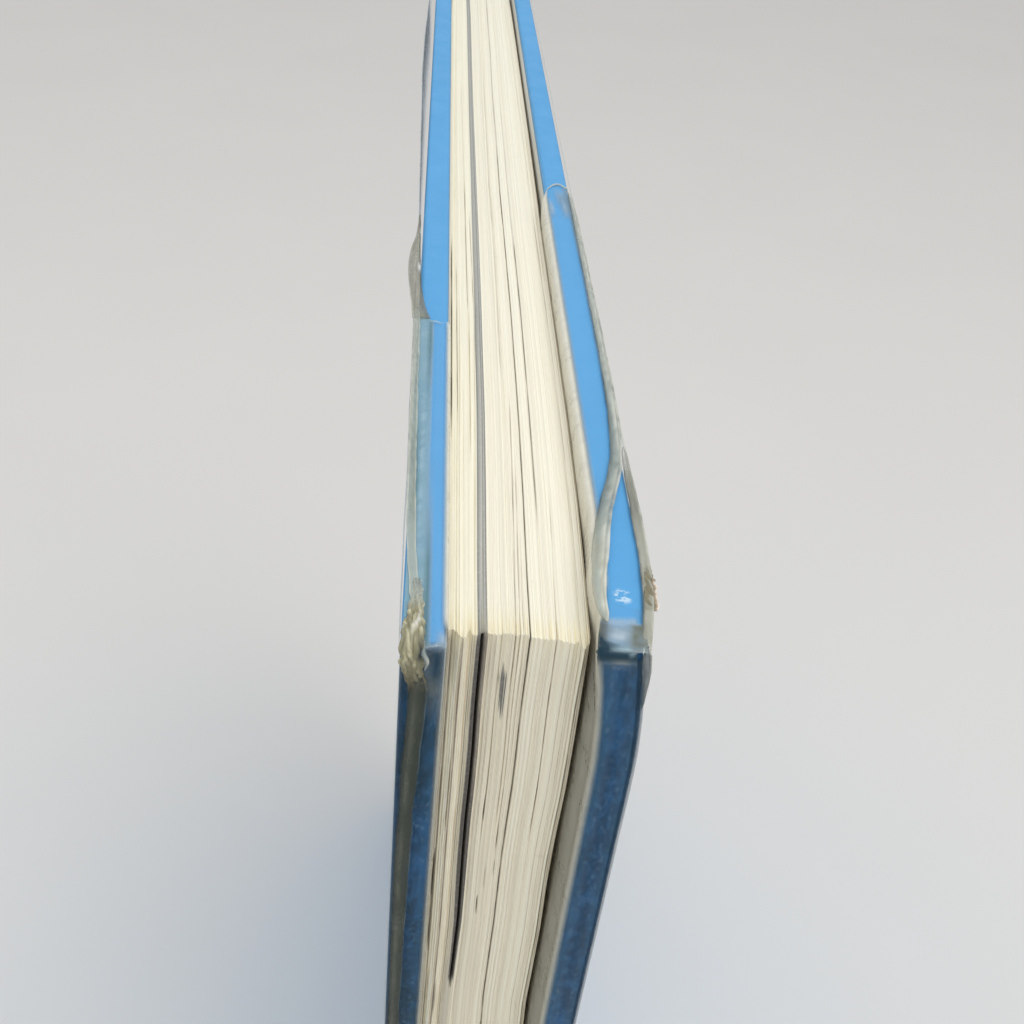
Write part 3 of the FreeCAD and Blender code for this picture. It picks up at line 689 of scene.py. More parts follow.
def leaves_surface(leaf_count, settings):
    """The leaves as one skin, whose rows run through the thickness and columns round the outline.

    There are four rows to a leaf. A row's y comes from the section lines. Each leaf stands in or out
    by a small random amount that drifts along the edge, the line between two leaves is a fine
    groove, and each stripe of the table cuts a crack. The fore-edge is hollow by a parabola and
    slants by 1 mm, and beside the head it is broken into steps. The two faces are closed by rings
    that shrink towards the middle.
    """
    m, on_head, on_tail, wide, tall = leaf_outline()
    on_fore = ~(on_head | on_tail)
    down = np.clip(m, 0, tall)
    step = np.array([0.0, 0.16, 0.5, 0.84])
    share = np.append((np.arange(leaf_count)[:, None] + step).ravel(), leaf_count) / leaf_count
    s = share[:, None]
    middle = 4 * s * (1 - s)
    rng = np.random.default_rng(settings.seed)
    leaf = np.minimum((share * leaf_count).astype(int), leaf_count - 1)
    drift = np.stack([ripple(m, 1000 + k, 18, 160, 4) for k in range(leaf_count)])[leaf]
    own = rng.normal(0, 0.04, leaf_count)[leaf][:, None]
    crack_at = rng.uniform(0.25, 1.0, leaf_count + 1)
    groove = np.zeros_like(share)
    groove[::4] = crack_at
    groove = groove[:, None]
    into = groove * np.where(on_fore, 0.09, 0.045) - own - 0.02 * drift

    x0 = np.where(on_head, CORNER_X + m, np.where(on_tail, CORNER_X - (m - tall), CORNER_X))
    z0 = np.where(on_head, LEAF_HIGH[2], np.where(on_tail, LEAF_LOW[2], LEAF_HIGH[2] - down))
    y = leaf_y(s, x0, z0) + middle * 0.03 * ripple2(s * 8, m / 16, 5, 0.8, 3.0)
    lines = section_lines(x0, z0)
    thick = lines[3] - lines[0]

    cream, warm = np.array(settings.cream), np.array(settings.cream_front)
    front = smooth((0.235 - s) / 0.03)[..., None]
    colour = np.broadcast_to(cream * (1 - front) + warm * front, (*y.shape, 3))
    tone = 1 + 0.03 * rng.normal(0, 1, leaf_count)[leaf][:, None] + 0.008 * drift
    # painted shade: the grooves between leaves are a little darker, more so on the fore-edge
    tone = tone - 0.05 * groove * np.where(on_fore, 1.4, 1)
    tone = tone + 0.035 * ripple(s * 30, 71, 0.8, 2.6) * on_fore
    # the fore-edge's tone by share, raised in the first quarter as painted light
    tone = tone * (1 + (np.interp(s, *zip(*FORE_TONES)) - 1) * smooth(m / 1.2))
    colour = colour * tone[..., None]
    # on the fore-edge the first leaves are less yellow, in pinkish and grey bands
    blush = front * (0.5 + 0.5 * ripple(s * 40, 83, 1.5, 5.0))[..., None].clip(0, 1) * smooth(m / 1.5)[..., None]
    colour = colour * (1 - blush * np.array([0.0, 0.035, 0.02]))
    aged = rng.random(leaf_count)[leaf][:, None] * on_fore
    colour = colour * (1 - aged[..., None] * np.array([0.02, 0.035, 0.07]))
    dusk = on_fore * (window(s, 0.26, 0.60, 0.08) * (0.6 + 0.4 * smooth((26 - down) / 20)))
    colour = colour * (1 - dusk[..., None] * np.array([0.04, 0.05, 0.065]))

    def stripe(at, half, start, end, soft):
        """How much of a stripe there is: a bell across the leaves and a window along them."""
        return np.exp(-(((s - at) * thick / half) ** 2)) * window(m, start, end, soft)

    def tinted(colour, much, tint):
        return colour * (1 - much[..., None]) + much[..., None] * np.array(tint)

    # The grey section is printed to the edge. On the fore-edge it opens round a dark gap.
    away = np.abs(s - GREY_SHARE) * thick
    half = np.where(m > 0, 0.50 * (1 - 0.4 * smooth((m - 30) / 24)), 0.43) * window(m, -400, GREY_END - 0.5, 2.0)
    inside = smooth((half - away) / 0.07 + 0.5) * (half > 0.02)
    # on the fore-edge the grey is a much darker copy of the lit grey of the head: painted shade
    below = smooth(m / 2.0 + 0.4)[..., None]
    grey = np.array(settings.grey_lit) * (1 - below) + np.array(settings.grey_in_shade) * below
    colour = colour * (1 - 0.94 * inside[..., None]) + 0.94 * inside[..., None] * grey * (
        1 + 0.15 * rng.normal(0, 1, leaf_count)[leaf][:, None, None]
    )
    # painted shade: on the fore-edge the grey section parts round a crack, whose gap is near-black
    core = np.exp(-((away / 0.10) ** 2)) * window(m, 0.4, GREY_END, 1.6)
    colour = tinted(colour, 0.93 * core, GAP_SHADE)
    into = into + 1.3 * core
    for side in (-1, 1):
        line = stripe(GREY_SHARE + side * 0.030, 0.06, -60, 0.5, 30)
        colour = tinted(colour, 0.6 * line, SLATE)
    colour = tinted(colour, 0.45 * stripe(GREY_SHARE, 0.12, -45, -0.5, 24), (0.66, 0.66, 0.62))

    for s0, s1, m0, m1, half, tint, strength, depth in STRIPES:
        much = stripe(np.interp(m, (m0, m1), (s0, s1)), half, m0, m1, min(6.0, max(0.8, 0.25 * (m1 - m0))))
        much = much * (0.8 + 0.25 * ripple(m, int(1000 * s0 + m0 + 900), 3, 24)).clip(0.3, 1)
        # on the fore-edge's first quarter the stripes and their cracks are weakened: painted light against the front
        # cover's shade
        light_hand = 0.72 if m1 > 0 and s0 < 0.24 else 1.0
        colour = tinted(colour, light_hand * strength * much, tint)
        into = into + light_hand * depth * much

    # The smudge is ink rubbed along a few leaves, ragged at its ends.
    part = np.clip((m - SMUDGE_D[0]) / (SMUDGE_D[1] - SMUDGE_D[0]), 0, 1)
    reach = 0.47 * np.sin(np.pi * part) ** 0.7 * (0.75 + 0.25 * ripple(m, 8, 0.8, 3))
    ragged = 0.80 + 0.45 * ripple(s * leaf_count, 14, 1.1, 3.0)
    off = np.abs(s - SMUDGE_SHARE - 0.0028 * (m - 7)) * thick
    colour = tinted(colour, 0.90 * smooth((reach * ragged - off) / 0.12) * window(m, *SMUDGE_D, 1.0), SLATE)

    # Beside the corner the paper's edge is frayed and a little yellower.
    fringe = bump(m, -0.9, 1.6) * (0.6 + 0.4 * ripple(s * 60, 3, 1.0, 5.0))
    colour = (colour * (1 - fringe[..., None] * np.array([0.0, 0.03, 0.14]))).clip(0.01, 0.97)

    steps = np.interp(share, *zip(*FORE_RELIEF))[:, None] * (1 - 0.78 * smooth(down / 9))
    fore = CORNER_X + (s - 0.5) - 0.35 * middle + steps + 0 * y
    ragged = 0.06 * ripple(s * leaf_count, 41, 1.3, 5.0) * bump(m, 0, 2.0)
    stretch = (fore - LEAF_LOW[0]) / wide
    x = np.where(on_fore, fore - into, LEAF_LOW[0] + (x0 - LEAF_LOW[0]) * stretch)
    x = np.minimum(x, fore)
    z = np.where(on_head, z0 - into - ragged, np.where(on_tail, z0 + into, z0))
    z = np.where(on_fore, z.clip(LEAF_LOW[2] + 0.2, LEAF_HIGH[2] - 0.1), z)
    points = np.stack([x, y, z], -1)
    uv = np.stack([s + 0 * y, (m + wide) / (2 * wide + tall + 4) + 0 * y], -1)

    def cap(edge, share):
        """Rings from an edge towards the middle of the leaf, at the leaf's own y."""
        t = np.array([0.985, 0.95, 0.86, 0.7, 0.45, 0.2, 0.03])[:, None]
        centre = np.array([LEAF_LOW[0] + wide / 2, LEAF_LOW[2] + tall / 2])
        x, z = (centre[k] + t * (edge[:, 2 * k] - centre[k]) for k in (0, 1))
        return np.stack([x, leaf_y(share, x, z), z], -1)

    first, last = cap(points[0], 0.0), cap(points[-1], 1.0)
    rings = len(first)
    points = np.concatenate([first[::-1], points, last])
    colour, uv = (np.concatenate([np.repeat(v[:1], rings, 0), v, np.repeat(v[-1:], rings, 0)]) for v in (colour, uv))
    return points, colour, uv


class YearbookPaper(bpy.types.PropertyGroup):
    leaf_count: IntProperty(name="Leaves", description="Leaves in the text block", default=104, min=20, max=110)
    seed: IntProperty(name="Seed", description="Start of the random draws for the leaves", default=7)
    cream: FloatVectorProperty(
        name="Paper", description="Colour of the leaves' cut edges", default=(0.95, 0.915, 0.785),
        subtype="COLOR", size=3, min=0, max=1,
    )
    cream_front: FloatVectorProperty(
        name="First leaves", description="Colour of the first quarter of the leaves", default=(0.965, 0.935, 0.795),
        subtype="COLOR", size=3, min=0, max=1,
    )
    grey_lit: FloatVectorProperty(
        name="Grey section", description="Colour of the printed insert on the head", default=(0.44, 0.45, 0.43),
        subtype="COLOR", size=3, min=0, max=1,
    )
    # the printed grey's darker copy for the fore-edge: painted shade
    grey_in_shade: FloatVectorProperty(
        name="Grey section, fore-edge", description="Colour of the printed insert on the fore-edge",
        default=(0.125, 0.118, 0.118), subtype="COLOR", size=3, min=0, max=1,
    )
    endpaper: FloatVectorProperty(
        name="Endpaper", description="Colour of the endpapers", default=(0.74, 0.74, 0.70),
        subtype="COLOR", size=3, min=0, max=1,
    )
    endpaper_thickness: FloatProperty(
        name="Endpaper thickness", description="Thickness of an endpaper", default=0.10 * MM, unit="LENGTH",
        precision=5,
    )


class YearbookCase(bpy.types.PropertyGroup):
    cloth: FloatVectorProperty(
        name="Cloth", description="Colour of the book cloth", default=(0.118, 0.398, 0.745),
        subtype="COLOR", size=3, min=0, max=1,
    )
    # colour of the fore-edge face: grime together with painted shade
    cloth_grime_and_shade: FloatVectorProperty(
        name="Rubbed cloth", description="Colour of the cloth on the handled fore-edge",
        default=(0.008, 0.040, 0.095), subtype="COLOR", size=3, min=0, max=1,
    )
    band: FloatVectorProperty(
        name="Headband", description="Colour of the headband's second thread", default=(0.30, 0.42, 0.58),
        subtype="COLOR", size=3, min=0, max=1,
    )
    cloth_thickness: FloatProperty(
        name="Cloth thickness", description="Thickness of the book cloth", default=0.25 * MM, unit="LENGTH",
        precision=5,
    )
    edge_round: FloatProperty(
        name="Edge rounding", description="Radius of the cloth over the board's edges", default=0.56 * MM,
        unit="LENGTH", precision=5,
    )


class YearbookJacket(bpy.types.PropertyGroup):
    vinyl_thickness: FloatProperty(
        name="Vinyl thickness", description="Thickness of the jacket's sheet", default=0.13 * MM, unit="LENGTH",
        precision=5,
    )
    tint: FloatVectorProperty(
        name="Vinyl", description="Colour of the aged vinyl", default=(0.62, 0.65, 0.58),
        subtype="COLOR", size=3, min=0, max=1,
    )
    haze: FloatProperty(
        name="Haze", description="How much of what is behind it one face of the clear vinyl hides", default=0.008, min=0, max=1,
        subtype="FACTOR",
    )


class YearbookStage(bpy.types.PropertyGroup):
    lens: FloatProperty(name="Lens", description="Focal length of the camera", default=39.83, subtype="DISTANCE_CAMERA")
    key: FloatProperty(name="Key light", description="Power of the soft light overhead", default=9.2, unit="POWER")
    sky: FloatProperty(name="Sky", description="Strength of the even light all round", default=0.66, min=0)
    floor: FloatVectorProperty(
        name="Floor", description="Colour of the floor", default=(0.80, 0.79, 0.77),
        subtype="COLOR", size=3, min=0, max=1,
    )


class YEARBOOK_OT_leaves(bpy.types.Operator):
    """Add the text block: all the leaves, with their cut edges"""

    bl_idname = "yearbook.add_leaves"
    bl_label = "Leaves"

    def execute(self, context):
        paper = context.scene.yearbook_paper
        points, colour, uv = leaves_surface(paper.leaf_count, paper)
        rows, cols = points.shape[:2]
        faces = grid_faces(rows, cols, wrap=True).tolist()
        last = (rows - 1) * cols
        faces += [list(range(cols))[::-1], list(range(last, last + cols))]
        piece = make_piece(
            "leaves", points.reshape(-1, 3), faces, leaf_edge_material(),
            colours=colour.reshape(-1, 3), uv=uv.reshape(-1, 2), crisp=50, merge=0,
        )
        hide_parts("text_block")
        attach(piece, "book_block")
        return {"FINISHED"}


def endpaper_surface(side, thickness):
    """One endpaper: flyleaf, fold at the spine and pastedown, as one folded sheet.

    Its section runs from the flyleaf's fore-edge to the spine, half way round a small arc, and back
    along the cover. The flyleaf keeps a set distance from the outermost leaf. The pastedown sinks
    inside the turned-in cloth, whose edge shows through as a step 15 mm from the board's edges.
    Returns the middle surface, its normals, the row at the middle of the fold and the row where the
    board begins.
    """
    tail, head = LEAF_LOW[2], LEAF_HIGH[2]
    z = np.r_[tail, tail + 0.5, np.linspace(tail + 4, head - 12, 40), head - 9, head - 6, head - 3, head - 1.2, head - 0.4, head]
    fly_x = np.r_[np.linspace(112.9 if side == "back" else 112.1, 100, 8), np.linspace(92, SPINE_X + 1.2, 22)]
    paste_x = np.r_[
        np.linspace(SPINE_X + 1.2, BOARD_X, 8), np.linspace(BOARD_X + 2, 92, 26),
        96, 99, 101, 102.4, 103.2, 105, 108, 111, 114, PASTE_HIGH[0] - 0.4, PASTE_HIGH[0],
    ]
    inner = PASTE_IN + thickness / 2
    u, v = np.meshgrid(fly_x, z, indexing="ij")
    lift = 0.5 + 0.5 * ripple2(u / 40, v / 26, 3 if side == "front" else 9, 0.7, 2.4)
    lift = lift.clip(0, 1) * smooth((u - 10) / 90)
    if side == "front":
        out = -leaf_y(0.0, u, v) + 0.06 + 0.01 * lift * (u < 55)
    else:
        out = leaf_y(1.0, u, v) + 0.085 + 0.03 * lift
    fly = np.stack([u, out, v], -1)
    low, high = fly[-1, :, 1], inner
    middle, radius = (low + high) / 2, (high - low) / 2
    turn = np.radians(np.linspace(-90, -270, 9)[1:-1])[:, None]
    fold = np.stack([SPINE_X + 1.2 + radius * np.cos(turn), middle + radius * np.sin(turn), 0 * turn + z], -1)
    u, v = np.meshgrid(paste_x, z, indexing="ij")
    inset = np.minimum(FORE_X - u, np.minimum(v - CASE_TAIL, CASE_HEAD - v))
    sunk = 0.16 * smooth((inset - 14.6) / 1.2) * smooth((u - BOARD_X) / 3)
    centre = (tail + head) / 2
    taller = (PASTE_HIGH[2] - PASTE_LOW[2]) / (head - tail)
    v = centre + (v - centre) * (1 + (taller - 1) * smooth((u - PASTE_LOW[0] + 1) / 3))
    paste = np.stack([u, inner + sunk, v], -1)
    grid = np.concatenate([fly, fold, paste])
    return grid, grid_normals(grid), len(fly) + 3, len(fly) + len(fold) + 7


class YEARBOOK_OT_endpapers(bpy.types.Operator):
    """Add both endpapers, each folded from the block onto its cover"""

    bl_idname = "yearbook.add_endpapers"
    bl_label = "Endpapers"

    def execute(self, context):
        paper = context.scene.yearbook_paper
        thick = paper.endpaper_thickness / MM
        material = paper_material("endpaper_sheet")
        for side in ("front", "back"):
            grid, normal, cut, board = endpaper_surface(side, thick)
            top, bottom = grid + normal * thick / 2, grid - normal * thick / 2
            if side == "front":
                top, bottom = (g * (1, -1, 1) for g in (top, bottom))
            else:
                top, bottom = (
                    np.concatenate([g[:cut], place("back", *np.moveaxis(g[cut:], -1, 0))]) for g in (top, bottom)
                )
            tint = np.empty(grid.shape)
            tint[:] = paper.endpaper
            tint[: cut - 3] = (0.83, 0.80, 0.70)
            cut_edge = (0.95, 0.91, 0.78) if side == "front" else (0.66, 0.57, 0.40)
            tint[:2] = tint[: cut - 3, -2:] = tint[: cut - 3, :2] = cut_edge
            # the part pasted on the board goes with the cover; the flyleaf and its fold stay in place
            sheets = []
            for name, rows in (("endpaper", slice(None, board + 1)), ("pasted_sheet", slice(board, None))):
                points, faces = shell(top[rows], bottom[rows])
                both = np.concatenate([tint[rows].reshape(-1, 3)] * 2)
                sheets.append(make_piece(f"{side}_{name}", points, faces, material, colours=both))
            folded, pasted = sheets
            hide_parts(f"{side}_flyleaf")
            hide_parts(f"{side}_pastedown")
            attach(pasted, f"{side}_cover")
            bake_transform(folded)
        return {"FINISHED"}


def wrapped(x_flat, z_flat, radius, over, face, toward, round_x=(False, True), over_x=None):
    """A sheet laid on a board's face and carried over its edges.

    On the face it is a flat grid. Over an edge it turns through a quarter circle of the radius, and
    then runs on across the edge by over. At a corner the two turns combine: the normal's parts
    along x and z are the two sines, brought back to length 1 where they exceed it, so the corner is
    an eighth of a sphere and a quarter of a cylinder. face is the distance out of the flat part and
    toward is 1 or -1, the way the sheet runs across the edge. Returns x, distance out and z.
    """
    turn = np.linspace(0, np.pi / 2, 6)[1:]
    run = np.linspace(0, 1, 7)[1:]

    def stretch(flat, start, end):
        """Flat place, sine of the turn and run past it, at each step along one direction."""
        at, sine, past = [flat], [0 * flat], [0 * flat]
        if end:
            at.append(np.full(len(turn) + len(run), flat[-1]))
            sine.append(np.r_[np.sin(turn), np.ones(len(run))])
            past.append(np.r_[0 * turn, run])
        if start:
            at.insert(0, np.full(len(turn) + len(run), flat[0]))
            sine.insert(0, -np.r_[np.sin(turn), np.ones(len(run))][::-1])
            past.insert(0, np.r_[0 * turn, run][::-1])
        return (np.concatenate(v) for v in (at, sine, past))

    xa, xs, xp = stretch(x_flat, *round_x)
    za, zs, zp = stretch(z_flat, True, True)
    shape = (len(xa), len(za))
    sx, sz = (np.broadcast_to(v, shape) for v in (xs[:, None], zs[None]))
    reach = np.sqrt(sx**2 + sz**2)
    scale = np.where(reach > 1, 1 / np.maximum(reach, 1e-9), 1)
    sx, sz = sx * scale, sz * scale
    rise = 1 - np.sqrt(np.clip(1 - sx**2 - sz**2, 0, 1))
    x = xa[:, None] + radius * sx
    z = za[None] + radius * sz
    along_z = over if over_x is None else over_x(x, z)
    past = np.maximum(xp[:, None] * over, zp[None] * along_z)
    return x, face + toward * (radius * rise + past), z


class YEARBOOK_OT_case(bpy.types.Operator):
    """Add the cloth case: both covers, the French grooves and the spine"""

    bl_idname = "yearbook.add_case"
    bl_label = "Cloth case"

    def execute(self, context):
        case = context.scene.yearbook_case
        thick, radius = case.cloth_thickness / MM, case.edge_round / MM
        material = cloth_material(case)
        for side in ("front", "back"):
            parts = [self.cover_skin(side, radius), self.spine_strip(side, thick), self.head_lip(side, thick, 1),
                     self.head_lip(side, thick, -1)]
            points, faces = join(*parts)
            piece = make_piece(f"{side}_case_cloth", points, faces, material, crisp=50)
            nodes = [f"{side}_cover_cloth"] + (["spine_cloth"] if side == "front" else [])
            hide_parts(*nodes)
            over_hinge(piece)
        return {"FINISHED"}

    def cover_skin(self, side, radius):
        """The cloth over one board: two wrapped sheets, one on each face, that meet along the edges' middle."""
        x_flat = np.r_[np.linspace(BOARD_X - 0.25 + radius, FORE_X - 17, 34), FORE_X - np.array([15.4, 14.9, 14.4, 13.6]),
                       np.linspace(FORE_X - 12.5, FORE_X - radius, 18)]
        z_flat = np.r_[CASE_TAIL + radius, CASE_TAIL + np.array([8, 14.4, 14.9, 15.4]), np.linspace(CASE_TAIL + 22, CASE_HEAD - 20, 34),
                       CASE_HEAD - np.array([15.4, 14.9, 14.4]), np.linspace(CASE_HEAD - 12.5, CASE_HEAD - radius, 18)]
        over = (CASE_OUT - CASE_IN) / 2 - radius
        skins = []
        for face, toward in ((CASE_OUT, -1), (CASE_IN, 1)):
            x, out, z = wrapped(x_flat, z_flat, radius, over, face, toward, (True, True))
            if toward > 0:
                # the inner face is the turned-in cloth, 15 mm wide; inside it the face drops to the board
                inset = np.minimum(FORE_X - x, np.minimum(z - CASE_TAIL, CASE_HEAD - z))
                out = out + 0.21 * smooth((inset - 14.4) / 1.0) * smooth((x - BOARD_X - 1) / 3)
            points = place(side, x, out, z)
            skins.append((points.reshape(-1, 3), grid_faces(*points.shape[:2]).tolist()))
        return join(*skins)

    def spine_strip(self, side, thick):
        """Half the spine and one groove: a section carried along z; the cloth's doubling at head and tail is multiplied
        by zero, so it is not doubled.
        """
        spine = SPINE_LOW[0]
        floor, riser = CASE_IN + thick, BOARD_X - 0.27
        section = np.concatenate([
            [[spine, 0.0], [spine, 2.5], [spine, 5.0]],
            arc(spine + 0.9, floor - 0.9, 0.9, 180, 90, 8),
            np.stack([np.linspace(spine + 1.6, riser - 2.2, 12), np.full(12, floor)], 1),
            arc(riser - 1.5, floor + 1.5, 1.5, -90, 0, 9),
            arc(riser + 0.77, CASE_OUT - 0.75, 0.77, 180, 90, 9),
            [[riser + 1.8, CASE_OUT + 0.015], [riser + 3.0, CASE_OUT + 0.005]],
        ])
        slope = np.gradient(section, axis=0)
        normal = np.stack([slope[:, 1], -slope[:, 0]], 1)
        normal /= np.linalg.norm(normal, axis=1, keepdims=True)
        normal[:3] = (1, 0)
        taper = np.r_[np.ones(len(section) - 12), np.linspace(1, 0.06, 12)]
        z = np.r_[CASE_TAIL, CASE_TAIL + 14.6, CASE_TAIL + 15.4, np.linspace(30, 280, 12), CASE_HEAD - 15.4, CASE_HEAD - 14.6, CASE_HEAD]
        double = 1 + 0.9 * (smooth((CASE_TAIL + 15 - z) / 0.8 + 0.5) + smooth((z - CASE_HEAD + 15) / 0.8 + 0.5))
        in_groove = window(section[:, 0], spine + 1.4, riser - 0.3, 0.8) * (section[:, 1] < floor + 0.1)
        depth = thick * taper[:, None] * (1 + (double[None] - 1) * in_groove[:, None] * 0)
        top = place(side, section[:, :1] + 0 * z, section[:, 1:] + 0 * z, z[None])
        under = section[:, None] + normal[:, None] * depth[..., None]
        bottom = place(side, under[..., 0], under[..., 1].clip(0), z[None])
        return shell(top, bottom)

    def head_lip(self, side, thick, end):
        """The cloth turned over the spine's card at one end: a small arch carried along y, and its lip."""
        edge = CASE_HEAD if end > 0 else CASE_TAIL
        # the lip starts just under the spine's own cloth, so the two faces do not share a plane
        outer, inner = SPINE_LOW[0] + thick / 2 + 0.04, SPINE_LOW[0] + thick * 1.5 + 0.6
        centre, radius = (outer + inner) / 2, (inner - outer) / 2
        bend = arc(centre, 0, radius, 180, 0, 9)
        bend[:, 1] = bend[:, 1] * (thick / 2 + 0.2) / radius
        section = np.concatenate([[[outer, -3.0]], bend, [[inner, -6.0], [inner, -14.0]]])
        y = np.linspace(0, CASE_IN - 0.6, 5)
        x = section[:, :1] + 0 * y
        z = edge + end * (section[:, 1:] - thick / 2 - 0.2 - thick / 2 + 0.0) + 0 * y
        grid = place(side, x, y[None] + 0 * x, z)
        normal = grid_normals(grid)
        return shell(grid + normal * thick / 2, grid - normal * thick / 2)


class YEARBOOK_OT_bands(bpy.types.Operator):
    """Add the head band and tail band"""

    bl_idname = "yearbook.add_bands"
    bl_label = "Headbands"

    def execute(self, context):
        material = thread_material(context.scene.yearbook_case)
        for name, end in (("head", 1), ("tail", -1)):
            low, high = node_box(f"{name}_band")
            points, faces = self.band(low, high, end)
            piece = make_piece(f"{name}_band_woven", points, faces, material, crisp=60)
            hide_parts(f"{name}_band")
            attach(piece, "book_block")
        return {"FINISHED"}

    def band(self, low, high, end):
        """A bead of wrapped thread and its tape.

        The bead's radius swells and sinks with each wrap, as 1 minus a twentieth of the cosine of
        the way along plus the way round, so the threads lie aslant.
        """
        radius, centre_x = 0.88, low[0] + 0.9
        centre_z = high[2] - 0.9 if end > 0 else low[2] + 0.9
        y = np.linspace(low[1], high[1], 133)
        a = np.linspace(0, 2 * np.pi, 18, endpoint=False)
        swell = 1 - 0.07 * (0.5 + 0.5 * np.cos(2 * np.pi * y[:, None] / 0.4 + a[None]))
        r = radius * swell
        points = np.stack([centre_x + r * np.cos(a), y[:, None] + 0 * a, centre_z + r * np.sin(a)], -1)
        faces = grid_faces(len(y), len(a), wrap=True).tolist()
        last = (len(y) - 1) * len(a)
        faces += [list(range(len(a)))[::-1], list(range(last, last + len(a)))]
        tape_z = np.linspace(low[2], high[2] - 0.9, 12) if end > 0 else np.linspace(low[2] + 0.9, high[2], 12)
        u, v = np.meshgrid(np.linspace(low[1] + 0.1, high[1] - 0.1, 12), tape_z, indexing="ij")
        front = np.stack([0 * u + low[0], u, v], -1)
        return join((points.reshape(-1, 3), faces), shell(front, front + (0.28, 0, 0)))


class YEARBOOK_OT_linings(bpy.types.Operator):
    """Give the boards, the spine's card, the mull and the kraft liner their materials"""

    bl_idname = "yearbook.finish_linings"
    bl_label = "Boards and linings"

    def execute(self, context):
        board = pressed_material("grey_board", (0.36, 0.34, 0.30), (0.20, 0.18, 0.16), 900)
        kraft = pressed_material("kraft_liner", (0.46, 0.32, 0.18), (0.30, 0.20, 0.10), 1400)
        mull = woven_material("mull_weave", (0.74, 0.70, 0.58), (0.42, 0.36, 0.26), 2 * math.pi / (0.9 * MM))
        nodes = {"front_board": board, "spine_inlay": board, "spine_liner": kraft, "spine_mull": mull}
        # the back board is bent at its head corner, so it is a sheet of its own
        low, high = node_box("front_board")
        x = np.r_[np.linspace(low[0], high[0] - 16, 12), np.linspace(high[0] - 14, high[0], 16)]
        z = np.r_[np.linspace(low[2], high[2] - 18, 14), np.linspace(high[2] - 15, high[2], 16)]
        x, z = np.meshgrid(x, z, indexing="ij")
        points, faces = shell(place("back", x, -low[1] - 0.01, z), place("back", x, -high[1] + 0.01, z))
        piece = make_piece("back_card", points, faces, board, crisp=40)
        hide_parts("back_board")
        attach(piece, "back_cover")
        for name, material in nodes.items():
            mesh = frame["nodes"][name].data
            if not mesh.materials:
                mesh.materials.append(material)
            for index in range(len(mesh.materials)):
                mesh.materials[index] = material
        return {"FINISHED"}


def film(shape, tint, hiding):
    """The film attribute: tint and how much it hides, for every vertex of a grid."""
    out = np.empty((*shape, 4))
    out[..., :3] = tint
    out[..., 3] = hiding
    return out


def painted(colours, tint, hiding, much):
    """colours moved to another tint and hiding by much."""
    goal = film(colours.shape[:-1], tint, hiding)
    return colours + (goal - colours) * much[..., None]


YELLOWED = (0.66, 0.64, 0.46)
PALE_EDGE = (0.70, 0.70, 0.58)
GREY_WELD = (0.46, 0.51, 0.45)
# the fore-edge weld's dark olive: its double layer of vinyl together with painted shade
SHADED_OLIVE = (0.062, 0.075, 0.058)
MILKY = (0.66, 0.76, 0.80)
CREAM_FLAP = (0.88, 0.86, 0.75)
SHADED_GREEN = (0.05, 0.07, 0.06)
# How far out the jacket's head edge lies, at distances along the head from the board's fore-edge.
HEAD_EDGE = {
    "front": (
        (-230, 11.6), (-215, 12.25), (-200, 12.45), (-185, 12.6), (-170, 12.7), (-150, 12.6), (-135, 12.3),
        (-120, 12.0), (-105, 11.8), (-95, 11.65), (-85, 11.5), (-54, 11.46), (-35, 11.25), (-20, 11.1), (0, 11.05),
    ),
    "back": (
        (-230, 11.15), (-205, 11.22), (-120, 11.2), (-98, 11.25), (-86, 11.42), (-50, 11.45), (-28, 11.42),
        (-12, 11.35), (0, 11.1),
    ),
}


